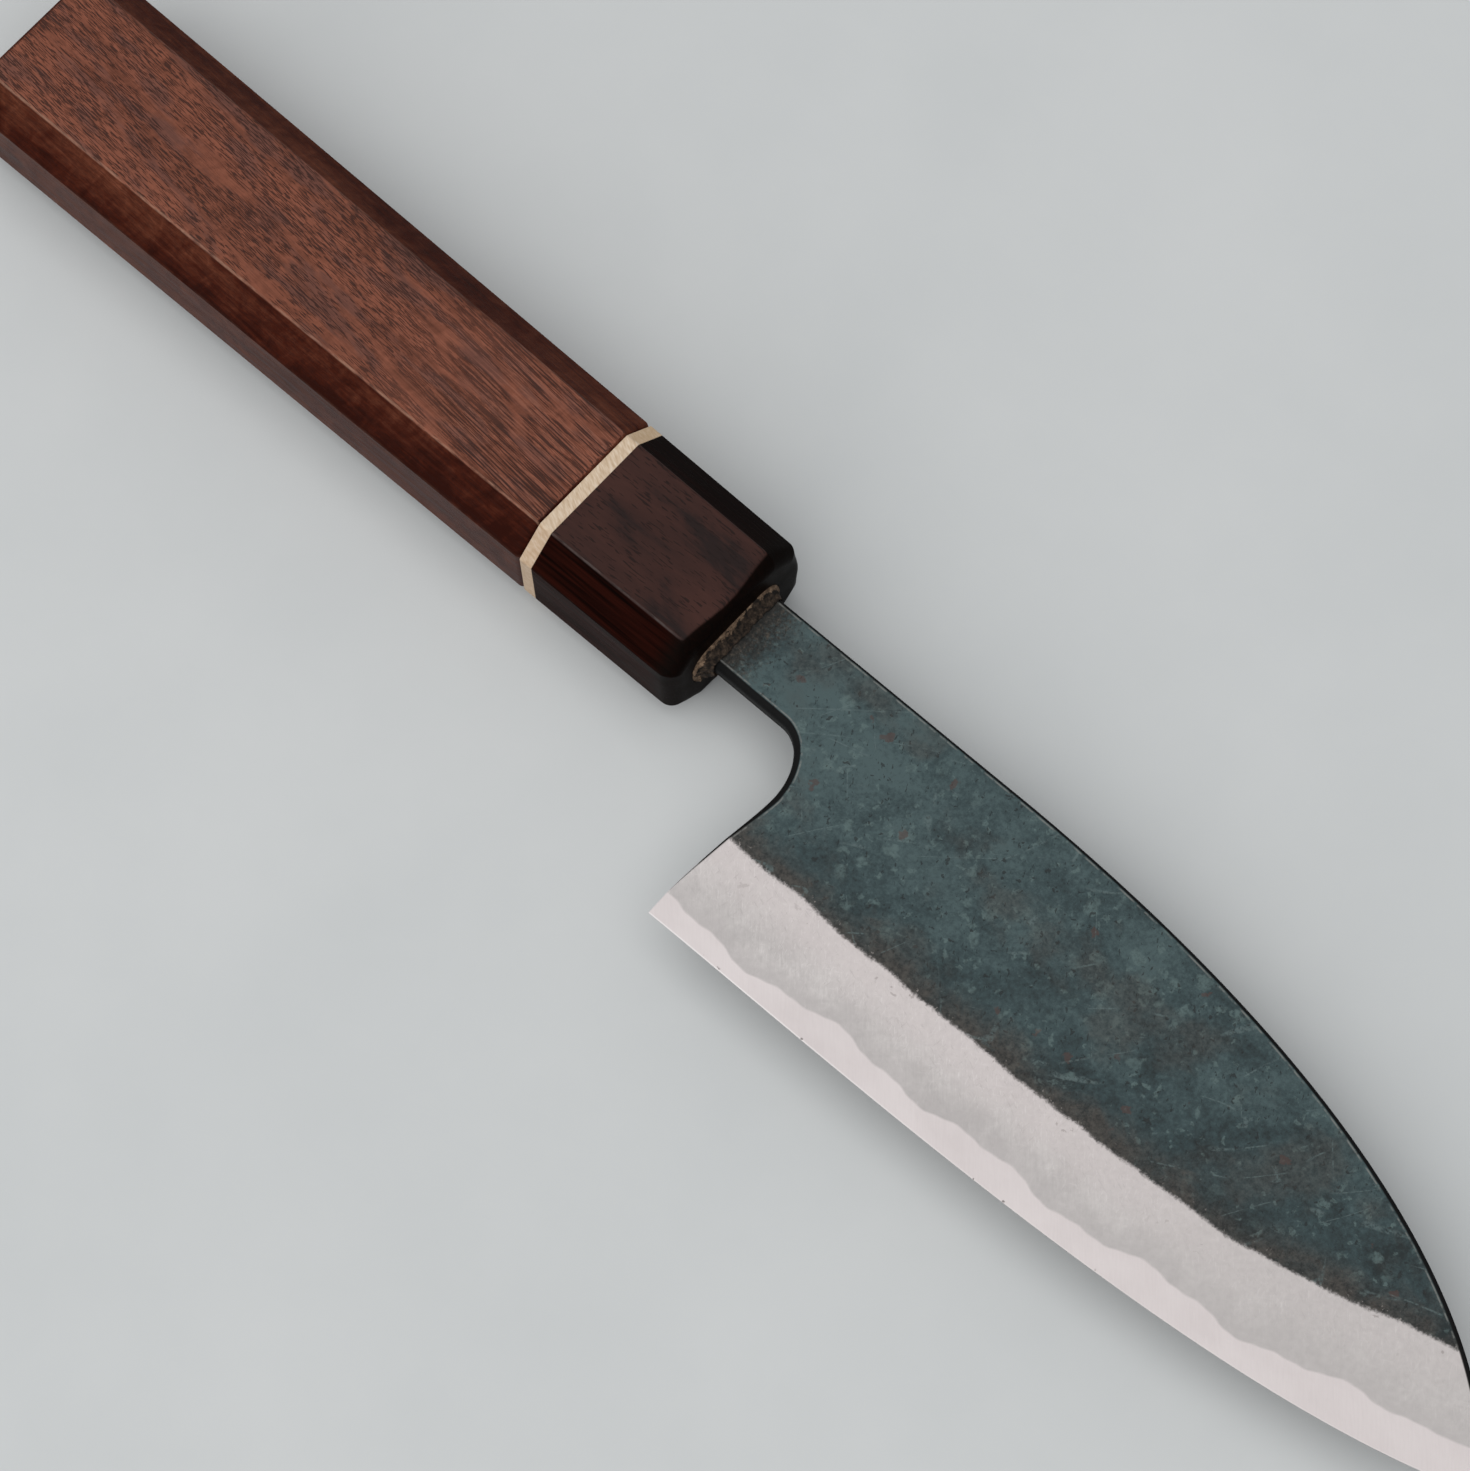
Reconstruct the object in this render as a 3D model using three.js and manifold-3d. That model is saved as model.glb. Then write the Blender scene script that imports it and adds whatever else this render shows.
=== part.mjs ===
import * as THREE from "three";
import { mergeVertices } from "three/addons/utils/BufferGeometryUtils.js";
import Module from "manifold-3d";

const wasm = await Module();
wasm.setup();

// A small santoku with an eight-sided wooden handle and a blade welded from three layers.
// Sizes are millimetres. While building, x = 0 is the ferrule's front face with +x to the tip,
// y = 0 is the handle's axis with +y to the spine, and z = 0 is the blade's middle plane.

// Handle
const bodyLength = 93;
const spacerLength = 1.9;
const ferruleLength = 22.7;
const handleThickness = 17.5;
const ferruleWidth = 23; // across the handle at the ferrule's front
const buttWidth = 25.3; // across the handle at the butt
const handleChamfer = 4; // each way, on the four long corners
const noseRadius = 1.5;
const noseSteps = 6;
const buttEase = 0.8;

// Tenon inside the handle
const webLength = 5; // solid front of the ferrule
const tenonWall = 3.35; // beside the tang, at its thickest
const tenonCheek = 1.7; // above and below the tang, at its tallest
const tenonTail = 9; // solid end behind the tang
const tenonClearance = 0.2;

// Filler in the ferrule's mouth
const mouthSide = 2.15; // ferrule's mouth past the neck, on each side
const mouthAbove = 1.3;
const mouthBelow = 2.5;
const fillerProud = 0.5;
const fillerClearance = 0.1;

// Tang and neck
const tangLength = 60;
const tangEndHeight = 5.2;
const tangEndThickness = 2.2;
const tangClearance = 0.3;
const neckTop = 6.2;
const neckBottom = -5.4;
const neckLength = 16.4; // ferrule to heel
const neckSetback = 2; // blade section kept behind the ferrule's face
const notchRadius = 5; // corner between neck and heel
const heelRake = 0.75; // notch corner ahead of the heel

// Blade outline
const edgeLength = 119.9; // heel to tip, along x
const heelDepth = 33.6; // edge below the handle's axis at the heel
const tipDepth = 22; // tip below the handle's axis
const spineHeight = 6.5;
const straightSpine = 41.8; // ferrule to the start of the spine's curve
const spineLead = 0.54; // first handle of the spine's curve, along it
const spineNoseAlong = 0.868; // second handle, along and down
const spineNoseDown = 0.41;
const edgeLead = 0.21; // handles of the edge's curve, along it
const edgeBelly = 0.746;
const edgeLeadRise = 0.6;
const edgeBellySag = 1.2;
const tipBlunt = 0.15;

// Blade section
const neckThickness = 3.3155; // at the spine, by the ferrule
const heelThickness = 2.5; // at the top of the bevel, by the heel
const runoutThickness = 1.824; // where the bevel meets the spine
const bevelHeight = 13.1; // at the heel
const bevelRunoutReach = 13.1; // back from the tip to where the bevel meets the spine
const bevelLead = 0.745; // handles of the bevel line, along and up
const bevelLiftAlong = 0.755;
const bevelLiftUp = 0.195;
const spineEase = 0.5;
const spineTopShare = 0.6; // of the thickness, left flat on top of the spine
const tipBevelShare = 0.8; // of the section's height, past the bevel's runout
const edgeThickness = 0.08;
const coreThickness = 0.6;
const weldSeam = 0.02; // between the layers
const stations = 40; // sections along the blade
const stationCrowding = 1.5; // closer together towards the tip

const handleLength = bodyLength + spacerLength + ferruleLength;
const ferruleBack = -ferruleLength;
const spacerBack = ferruleBack - spacerLength;
const neckHeight = neckTop - neckBottom;
const neckMiddle = (neckTop + neckBottom) / 2;
const tenonBack = -tangLength - tenonTail;
const tenonHeight = neckHeight + 2 * tenonCheek;
const tenonWidth = neckThickness + 2 * tenonWall;
const mouthHeight = neckHeight + mouthAbove + mouthBelow;
const mouthWidth = neckThickness + 2 * mouthSide;
const mouthMiddle = neckMiddle + (mouthAbove - mouthBelow) / 2;
const heelX = neckLength;
const tipX = neckLength + edgeLength;
const bevelRunout = tipX - bevelRunoutReach;
const cutReach = 20; // how far a cutter runs past what it cuts
const curveSegments = 16;
const bisections = 40;

const xAxis = new THREE.Vector3(1, 0, 0);
const yAxis = new THREE.Vector3(0, 1, 0);
const zAxis = new THREE.Vector3(0, 0, 1);
const sectionToX = new THREE.Matrix4().makeBasis(yAxis, zAxis, xAxis);

function along(start, end, share) {
  return THREE.MathUtils.lerp(start, end, share);
}

function solid(geometry) {
  const bare = geometry.clone();
  bare.deleteAttribute("normal");
  bare.deleteAttribute("uv");
  const merged = mergeVertices(bare);
  const vertProperties = new Float32Array(merged.attributes.position.array);
  const triVerts = new Uint32Array(merged.index.array);
  return new wasm.Manifold(new wasm.Mesh({ numProp: 3, vertProperties, triVerts }));
}

// Skin over convex rings of points, each ring turning from +y to +z, the rings going along +x
function loft(rings) {
  const count = rings[0].length;
  const triangles = [];
  for (let r = 0; r + 1 < rings.length; r++) {
    for (let i = 0; i < count; i++) {
      const j = (i + 1) % count;
      const a = r * count + i;
      const b = r * count + j;
      triangles.push(a, b, b + count);
      triangles.push(a, b + count, a + count);
    }
  }
  const last = (rings.length - 1) * count;
  for (let i = 1; i + 1 < count; i++) {
    triangles.push(0, i + 1, i);
    triangles.push(last, last + i, last + i + 1);
  }
  const geometry = new THREE.BufferGeometry();
  geometry.setAttribute("position", new THREE.Float32BufferAttribute(rings.flat(2), 3));
  geometry.setIndex(triangles);
  return solid(geometry);
}

// Straight prism of a section drawn in y and z
function prism(shape, backX, frontX) {
  const geometry = new THREE.ExtrudeGeometry(shape, {
    depth: frontX - backX,
    bevelEnabled: false,
    curveSegments,
  });
  geometry.applyMatrix4(sectionToX);
  geometry.translate(backX, 0, 0);
  return solid(geometry);
}

function block(minimum, maximum) {
  const size = new THREE.Vector3().subVectors(maximum, minimum);
  const middle = new THREE.Vector3().addVectors(maximum, minimum).multiplyScalar(0.5);
  const geometry = new THREE.BoxGeometry(size.x, size.y, size.z);
  geometry.translate(middle.x, middle.y, middle.z);
  return solid(geometry);
}

// Slot outline with round ends, its long way along y
function slotShape(height, width, centre) {
  const radius = width / 2;
  const straight = height / 2 - radius;
  const shape = new THREE.Shape();
  shape.moveTo(centre - straight, -radius);
  shape.lineTo(centre + straight, -radius);
  shape.absarc(centre + straight, 0, radius, -Math.PI / 2, Math.PI / 2, false);
  shape.lineTo(centre - straight, radius);
  shape.absarc(centre - straight, 0, radius, Math.PI / 2, (3 * Math.PI) / 2, false);
  return shape;
}

// Handle section at x, every facet moved in by inset
function handleRing(x, inset) {
  const halfWidth = THREE.MathUtils.mapLinear(x, -handleLength, 0, buttWidth, ferruleWidth) / 2;
  const halfThickness = handleThickness / 2;
  const cornerSum = halfWidth + halfThickness - handleChamfer - inset * Math.SQRT2;
  const side = halfWidth - inset;
  const face = halfThickness - inset;
  const facetHalf = cornerSum - face;
  const sideHalf = cornerSum - side;
  return [
    [x, side, sideHalf],
    [x, facetHalf, face],
    [x, -facetHalf, face],
    [x, -side, sideHalf],
    [x, -side, -sideHalf],
    [x, -facetHalf, -face],
    [x, facetHalf, -face],
    [x, side, -sideHalf],
  ];
}

function makeBody() {
  const rings = [
    handleRing(-handleLength, buttEase),
    handleRing(-handleLength + buttEase, 0),
    handleRing(spacerBack, 0),
  ];
  return loft(rings).subtract(mortise(tenonBack, spacerBack + cutReach));
}

function makeSpacer() {
  const ring = loft([handleRing(spacerBack, 0), handleRing(ferruleBack, 0)]);
  return ring.subtract(mortise(spacerBack - cutReach, ferruleBack + cutReach));
}

function makeFerrule() {
  const rings = [handleRing(ferruleBack, 0)];
  for (let step = 0; step <= noseSteps; step++) {
    const angle = (step / noseSteps) * (Math.PI / 2);
    const x = noseRadius * (Math.sin(angle) - 1);
    rings.push(handleRing(x, noseRadius * (1 - Math.cos(angle))));
  }
  const mouth = prism(slotShape(mouthHeight, mouthWidth, mouthMiddle), -webLength - cutReach, cutReach);
  return loft(rings).subtract(mortise(ferruleBack - cutReach, -webLength)).subtract(mouth);
}

// Room for the tenon
function mortise(backX, frontX) {
  const play = 2 * tenonClearance;
  return prism(slotShape(tenonHeight + play, tenonWidth + play, neckMiddle), backX, frontX);
}

function makeTenon() {
  const blank = prism(slotShape(tenonHeight, tenonWidth, neckMiddle), tenonBack, -webLength);
  const kerf = loft([tangRing(-tangLength, tangClearance), tangRing(0, tangClearance)]);
  return blank.subtract(kerf);
}

function makeFiller() {
  const play = 2 * fillerClearance;
  const plug = prism(slotShape(mouthHeight - play, mouthWidth - play, mouthMiddle), -webLength, fillerProud);
  const halfThickness = neckThickness / 2 + tangClearance;
  const neckRoom = block(
    new THREE.Vector3(-webLength - cutReach, neckBottom - tangClearance, -halfThickness),
    new THREE.Vector3(cutReach, neckTop + tangClearance, halfThickness),
  );
  return plug.subtract(neckRoom);
}

// Tang section at x, grown on all sides for the slot that takes it
function tangRing(x, grow) {
  const share = THREE.MathUtils.inverseLerp(-tangLength, 0, x);
  const top = along(tangEndHeight / 2, neckTop, share) + grow;
  const bottom = along(-tangEndHeight / 2, neckBottom, share) - grow;
  const half = along(tangEndThickness, neckThickness, share) / 2 + grow;
  return [
    [x, top, half],
    [x, bottom, half],
    [x, bottom, -half],
    [x, top, -half],
  ];
}

// Height of a curve that runs steadily along x
function heightAt(curve, x) {
  let low = 0;
  let high = 1;
  for (let i = 0; i < bisections; i++) {
    const middle = (low + high) / 2;
    if (curve.getPoint(middle).x < x) {
      low = middle;
    } else {
      high = middle;
    }
  }
  return curve.getPoint(high).y;
}

const spineCurve = new THREE.CubicBezierCurve(
  new THREE.Vector2(straightSpine, spineHeight),
  new THREE.Vector2(along(straightSpine, tipX, spineLead), spineHeight),
  new THREE.Vector2(
    along(straightSpine, tipX, spineNoseAlong),
    along(spineHeight, -tipDepth, spineNoseDown),
  ),
  new THREE.Vector2(tipX, -tipDepth),
);

const edgeCurve = new THREE.CubicBezierCurve(
  new THREE.Vector2(heelX, -heelDepth),
  new THREE.Vector2(along(heelX, tipX, edgeLead), -heelDepth + edgeLeadRise),
  new THREE.Vector2(along(heelX, tipX, edgeBelly), -heelDepth - edgeBellySag),
  new THREE.Vector2(tipX, -tipDepth),
);

function spineAt(x) {
  if (x < straightSpine) {
    return THREE.MathUtils.mapLinear(x, 0, straightSpine, neckTop, spineHeight);
  }
  return heightAt(spineCurve, x);
}

function edgeAt(x) {
  return heightAt(edgeCurve, Math.max(x, heelX));
}

const bevelStart = new THREE.Vector2(heelX, -heelDepth + bevelHeight);
const bevelEnd = new THREE.Vector2(bevelRunout, spineAt(bevelRunout) - spineEase);
const bevelCurve = new THREE.CubicBezierCurve(
  bevelStart,
  new THREE.Vector2(along(bevelStart.x, bevelEnd.x, bevelLead), bevelStart.y),
  new THREE.Vector2(
    along(bevelStart.x, bevelEnd.x, bevelLiftAlong),
    along(bevelStart.y, bevelEnd.y, bevelLiftUp),
  ),
  bevelEnd,
);

// The blade's flat is one plane on each side, set by three thicknesses
const flatPlane = new THREE.Plane().setFromCoplanarPoints(
  new THREE.Vector3(0, neckTop, neckThickness / 2),
  new THREE.Vector3(bevelStart.x, bevelStart.y, heelThickness / 2),
  new THREE.Vector3(bevelEnd.x, bevelEnd.y, runoutThickness / 2),
);

function flatHalf(x, y) {
  return -(flatPlane.constant + flatPlane.normal.x * x + flatPlane.normal.y * y) / flatPlane.normal.z;
}

function bevelTopAt(x) {
  return heightAt(bevelCurve, THREE.MathUtils.clamp(x, heelX, bevelRunout));
}

function bevelSlope(x) {
  const measured = Math.min(x, bevelRunout);
  const top = bevelTopAt(measured);
  return (flatHalf(measured, top) - edgeThickness / 2) / (top - edgeAt(measured));
}

function bevelHalf(x, y) {
  return edgeThickness / 2 + bevelSlope(x) * (y - edgeAt(x));
}

// Blade section at x, from the spine down the +z side to the edge and back up
function bladeRing(x) {
  const spine = spineAt(x);
  const edge = edgeAt(x);
  const ease = Math.min(spineEase, (spine - edge) / 4);
  const shoulder = spine - ease;
  const bevelTop = x < bevelRunout ? bevelTopAt(x) : along(edge, shoulder, tipBevelShare);
  const shoulderHalf = Math.min(flatHalf(x, shoulder), bevelHalf(x, shoulder));
  const bevelTopHalf = Math.min(flatHalf(x, bevelTop), bevelHalf(x, bevelTop));
  const side = [
    [spine, shoulderHalf * spineTopShare],
    [shoulder, shoulderHalf],
    [bevelTop, bevelTopHalf],
    [edge, edgeThickness / 2],
  ];
  const near = side.map(([y, half]) => [x, y, half]);
  const far = side.map(([y, half]) => [x, y, -half]).reverse();
  return [...near, ...far];
}

// Everything behind the heel and below the neck
function notchCutter() {
  const cornerX = heelX + heelRake;
  const rakeHeight = heelDepth + neckBottom - notchRadius;
  const lowX = heelX - (heelRake * cutReach) / rakeHeight;
  const shape = new THREE.Shape();
  shape.moveTo(-cutReach, -heelDepth - cutReach);
  shape.lineTo(lowX, -heelDepth - cutReach);
  shape.lineTo(cornerX, neckBottom - notchRadius);
  shape.absarc(cornerX - notchRadius, neckBottom - notchRadius, notchRadius, 0, Math.PI / 2, false);
  shape.lineTo(-cutReach, neckBottom);
  const geometry = new THREE.ExtrudeGeometry(shape, {
    depth: 2 * cutReach,
    bevelEnabled: false,
    curveSegments,
  });
  geometry.translate(0, 0, -cutReach);
  return solid(geometry);
}

function makeBlade() {
  const rings = [];
  const startX = -neckSetback;
  const endX = tipX - tipBlunt;
  for (let i = 0; i <= stations; i++) {
    const share = 1 - (1 - i / stations) ** stationCrowding;
    rings.push(bladeRing(along(startX, endX, share)));
  }
  const tang = loft([tangRing(-tangLength, 0), tangRing(-neckSetback / 2, 0)]);
  return loft(rings).subtract(notchCutter()).add(tang);
}

// The part of the blade between two heights
function layer(blade, bottom, top) {
  const slab = block(
    new THREE.Vector3(-tangLength - cutReach, -heelDepth - cutReach, bottom),
    new THREE.Vector3(tipX + cutReach, spineHeight + cutReach, top),
  );
  return blade.intersect(slab);
}

function addPiece(parent, name, shape, look) {
  const result = shape.getMesh();
  const geometry = new THREE.BufferGeometry();
  geometry.setAttribute("position", new THREE.BufferAttribute(result.vertProperties, 3));
  geometry.setIndex(new THREE.BufferAttribute(result.triVerts, 1));
  geometry.computeVertexNormals();
  const mesh = new THREE.Mesh(geometry, new THREE.MeshStandardMaterial(look));
  mesh.name = name;
  parent.add(mesh);
}

const walnut = { color: 0x70483c, roughness: 0.5, metalness: 0 };
const maple = { color: 0xcdb496, roughness: 0.55, metalness: 0 };
const rosewood = { color: 0x3a2624, roughness: 0.35, metalness: 0 };
const beech = { color: 0xb98f63, roughness: 0.7, metalness: 0 };
const putty = { color: 0x785f4b, roughness: 0.85, metalness: 0 };
const coreSteel = { color: 0xd8cecc, roughness: 0.25, metalness: 1 };
const forgedIron = { color: 0x445258, roughness: 0.6, metalness: 1 };

const handle = new THREE.Group();
addPiece(handle, "handle_body", makeBody(), walnut);
addPiece(handle, "spacer_ring", makeSpacer(), maple);
addPiece(handle, "ferrule", makeFerrule(), rosewood);
addPiece(handle, "handle_tenon", makeTenon(), beech);
addPiece(handle, "mouth_filler", makeFiller(), putty);

const blade = new THREE.Group();
const bladeSolid = makeBlade();
const coreHalf = coreThickness / 2;
const claddingStart = coreHalf + weldSeam;
addPiece(blade, "core_steel", layer(bladeSolid, -coreHalf, coreHalf), coreSteel);
addPiece(blade, "cladding_right", layer(bladeSolid, claddingStart, cutReach), forgedIron);
addPiece(blade, "cladding_left", layer(bladeSolid, -cutReach, -claddingStart), forgedIron);

// The knife lies on its left side, with its origin under the middle of its box
const knife = new THREE.Group();
knife.add(handle, blade);
const box = new THREE.Box3().setFromObject(knife);
const middle = box.getCenter(new THREE.Vector3());
knife.position.set(-middle.x, -middle.y, -box.min.z);

export default new THREE.Group().add(knife);
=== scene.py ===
import math

import bmesh
import bpy
import numpy as np
from mathutils import Matrix, Vector, noise


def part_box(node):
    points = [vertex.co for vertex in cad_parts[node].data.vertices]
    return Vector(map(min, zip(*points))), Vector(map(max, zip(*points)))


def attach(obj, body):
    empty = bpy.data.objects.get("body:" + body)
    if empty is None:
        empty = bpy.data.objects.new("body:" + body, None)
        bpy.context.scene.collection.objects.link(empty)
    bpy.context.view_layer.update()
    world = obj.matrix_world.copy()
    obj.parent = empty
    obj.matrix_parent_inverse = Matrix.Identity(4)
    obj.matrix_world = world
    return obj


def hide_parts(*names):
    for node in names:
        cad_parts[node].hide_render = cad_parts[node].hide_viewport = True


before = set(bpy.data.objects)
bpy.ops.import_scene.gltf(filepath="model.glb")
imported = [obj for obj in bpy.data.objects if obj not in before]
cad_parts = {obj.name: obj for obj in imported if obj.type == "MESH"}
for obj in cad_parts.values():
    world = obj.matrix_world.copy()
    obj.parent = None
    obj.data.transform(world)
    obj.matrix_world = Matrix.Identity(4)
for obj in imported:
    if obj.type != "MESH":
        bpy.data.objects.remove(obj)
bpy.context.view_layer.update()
scene = bpy.context.scene
mm = 0.001

# drawing frame in millimetres: ferrule's front face, handle's axis, blade's middle plane
ferruleLow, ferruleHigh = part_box("ferrule")
coreLow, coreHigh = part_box("core_steel")
knifeZero = Vector((ferruleHigh.x, (ferruleLow.y + ferruleHigh.y) / 2, (coreLow.z + coreHigh.z) / 2))
toRow = Matrix.Translation(knifeZero) @ Matrix.Scale(mm, 4)
print("frame loaded,", len(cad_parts), "nodes")

handle = dict(butt=-117.6, ring=-24.6, collar=-22.7, front=0.0, thickness=17.5, chamfer=4.0,
              buttWidth=25.3, ringWidth=23.481, collarWidth=23.444, frontWidth=23.0)
broadTop = handle["thickness"] / 2  # height of the broad faces over the blade's middle plane
sideTop = broadTop - handle["chamfer"]  # height of the corners between sides and chamfers


def makeObject(name, data):
    piece = bpy.data.objects.new(name, data)
    scene.collection.objects.link(piece)
    return piece


def plainMesh(piece, name):
    graph = bpy.context.evaluated_depsgraph_get()
    mesh = bpy.data.meshes.new_from_object(
        piece.evaluated_get(graph), preserve_all_data_layers=True, depsgraph=graph)
    mesh.name = name
    return mesh


def dressPiece(piece, node, material):
    piece.data.materials.clear()
    piece.data.materials.append(material)
    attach(piece, "root")
    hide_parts(node)


# a node tree, with the arithmetic that finishes and shapes share
class Tree:
    def __init__(self, tree):
        self.tree = tree

    def feed(self, socket, value):
        if isinstance(value, bpy.types.NodeSocket):
            self.tree.links.new(value, socket)
        else:
            socket.default_value = value

    def node(self, kind, inputs=None, **settings):
        node = self.tree.nodes.new(kind)
        for key, value in settings.items():
            setattr(node, key, value)
        for label, value in (inputs or {}).items():
            self.feed(node.inputs[label], value)
        return node

    def calc(self, operation, *values):
        return self.node("ShaderNodeMath", dict(enumerate(values)), operation=operation).outputs[0]

    def chain(self, operation, first, *others):
        for other in others:
            first = self.calc(operation, first, other)
        return first

    def add(self, *values):
        return self.chain("ADD", *values)

    def times(self, *values):
        return self.chain("MULTIPLY", *values)

    def most(self, *values):
        return self.chain("MAXIMUM", *values)

    def minus(self, first, second):
        return self.calc("SUBTRACT", first, second)

    def timesPlus(self, first, factor, rest):
        return self.calc("MULTIPLY_ADD", first, factor, rest)

    def size(self, value):
        return self.calc("ABSOLUTE", value)

    def remap(self, value, fromLow, fromHigh, toLow=0.0, toHigh=1.0):
        limits = dict(enumerate((value, fromLow, fromHigh, toLow, toHigh)))
        return self.node("ShaderNodeMapRange", limits, interpolation_type="SMOOTHSTEP").outputs[0]

    def split(self, vector):
        return self.node("ShaderNodeSeparateXYZ", {0: vector}).outputs[:3]

    def join(self, *values):
        return self.node("ShaderNodeCombineXYZ", dict(enumerate(values))).outputs[0]


# one surface finish, worked out in the drawing frame's millimetres
class Finish(Tree):
    def __init__(self, name):
        self.material = bpy.data.materials.new(name)
        self.material.use_nodes = True
        super().__init__(self.material.node_tree)
        self.tree.nodes.clear()
        self.shader = self.node("ShaderNodeBsdfPrincipled")
        self.node("ShaderNodeOutputMaterial", {"Surface": self.shader.outputs[0]})
        spot = self.node("ShaderNodeTexCoord").outputs["Object"]
        self.place = self.mapped(spot, 1 / mm, -knifeZero / mm)
        self.x, self.y, self.z = self.split(self.place)

    def give(self, **sockets):
        labels = dict(colour="Base Color", metal="Metallic", rough="Roughness", normal="Normal",
                      gloss="Specular IOR Level", glossTint="Specular Tint")
        for key, value in sockets.items():
            self.feed(self.shader.inputs[labels[key]], value)
        return self.material

    def mapped(self, vector, scale=1, shift=(0, 0, 0), turn=(0, 0, 0)):
        scales = scale if isinstance(scale, tuple) else (scale,) * 3
        angles = [math.radians(angle) for angle in turn]
        return self.node("ShaderNodeMapping", {
            "Vector": vector, "Scale": scales, "Location": shift, "Rotation": angles}).outputs[0]

    def turned(self, angle, tilt=0):  # turned in the blade's plane, then tilted out of it
        return self.mapped(self.place, turn=(0, tilt, angle))

    def cloudNode(self, place, scale, detail, rough, twist=0.0, shift=(0, 0, 0)):
        return self.node("ShaderNodeTexNoise", {
            "Vector": self.mapped(place, scale, shift), "Scale": 1, "Detail": detail,
            "Roughness": rough, "Distortion": twist})

    def cloud(self, place, scale, detail=4, rough=0.55, twist=0.0, shift=(0, 0, 0)):
        return self.cloudNode(place, scale, detail, rough, twist, shift).outputs[0]

    def ragged(self, place, scale, reach):  # pushes the place about, so that spots lose their round shape
        push = self.cloudNode(place, scale, detail=3, rough=0.6).outputs["Color"]
        return self.node("ShaderNodeVectorMath", {0: push, 1: (reach,) * 3, 2: place},
                         operation="MULTIPLY_ADD").outputs[0]

    # one spot to a cell, with some cells left out; inner is the share of the spot at full strength
    def spots(self, place, scale, size, rarity, shift=(0, 0, 0), inner=0.75):
        cells = self.node("ShaderNodeTexVoronoi", {
            "Vector": self.mapped(place, scale, shift), "Scale": 1}).outputs
        chance = self.node("ShaderNodeSeparateColor", {0: cells["Color"]}).outputs[0]
        here = self.remap(chance, rarity, rarity + 0.03)
        return self.times(self.remap(cells["Distance"], size, size * inner), here)

    def sway(self, value, reach):  # a cloud's swing about zero
        return self.times(self.minus(value, 0.5), reach)

    def ramp(self, value, stops):
        node = self.node("ShaderNodeValToRGB", {0: value})
        points = node.color_ramp.elements
        while len(points) < len(stops):
            points.new(0.5)
        for point, (place, colour) in zip(points, stops):
            point.position = place
            point.color = (*colour, 1)
        return node.outputs[0]

    def blend(self, share, under, over):
        if not isinstance(over, bpy.types.NodeSocket):
            over = (*over, 1)
        return self.node("ShaderNodeMix", {0: share, 6: under, 7: over}, data_type="RGBA").outputs[2]

    def coat(self, colour, palette, **shares):  # lays the palette's named colours on, one over the other
        for label, share in shares.items():
            colour = self.blend(share, colour, palette[label])
        return colour

    def ownValue(self, name):
        return self.node("ShaderNodeAttribute", attribute_name=name).outputs["Fac"]

    def relief(self, height, depth, strength):
        return self.node("ShaderNodeBump", {
            "Strength": strength, "Distance": depth * mm, "Height": height}).outputs[0]

    def fromArris(self):  # distance to the handle's nearest long corner
        taper = (handle["frontWidth"] - handle["buttWidth"]) / 2 / (handle["front"] - handle["butt"])
        facet = self.timesPlus(self.x, taper, handle["frontWidth"] / 2 - handle["chamfer"])
        aside = self.size(self.minus(self.size(self.y), facet))
        upright = self.size(self.minus(self.size(self.z), sideTop))
        return self.calc("MINIMUM", aside, upright)

    def rubbedCorners(self, width, least, most):  # worn along the long corners, not across the two ends, and partly a painted highlight, strongest on the upper corners on the edge's side
        wear = self.remap(self.cloud(self.place, (0.3, 1.1, 1.1), rough=0.65), 0.4, 0.64, least, most)
        offButt = self.remap(self.x, handle["butt"] + 0.3, handle["butt"] + 1.5)
        offNose = self.remap(self.x, handle["front"] - 1.2, handle["front"] - 2.6)
        upper = self.remap(self.size(self.z), 6, 8, 0.1, 1)
        edgeSide = self.remap(self.y, 2, -2, 0.15, 1)
        corner = self.remap(self.fromArris(), width, width * 0.2)
        return self.times(corner, wear, offButt, offNose, upper, edgeSide)

    def broadFace(self):  # one on the two broad faces, none on the chamfers, sides and nose
        return self.remap(self.size(self.z), broadTop - 0.23, broadTop - 0.05)


walnutWood = dict(
    grainTurn=4, grainTilt=1.5, curlTurn=30, ringPitch=2.1,
    tones=((0.06, (0.024, 0.0044, 0.0024)), (0.22, (0.05, 0.0098, 0.0048)),
           (0.45, (0.108, 0.031, 0.016)), (0.74, (0.225, 0.073, 0.042))),
    dusk=(0.098, 0.045, 0.038), paleLine=(0.27, 0.105, 0.066), pore=(0.022, 0.0078, 0.0065),
    # pale corner colour: wear, partly a painted highlight
    rubbed=(0.31, 0.165, 0.11), glossTint=(1, 0.8, 0.7, 1))


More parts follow.
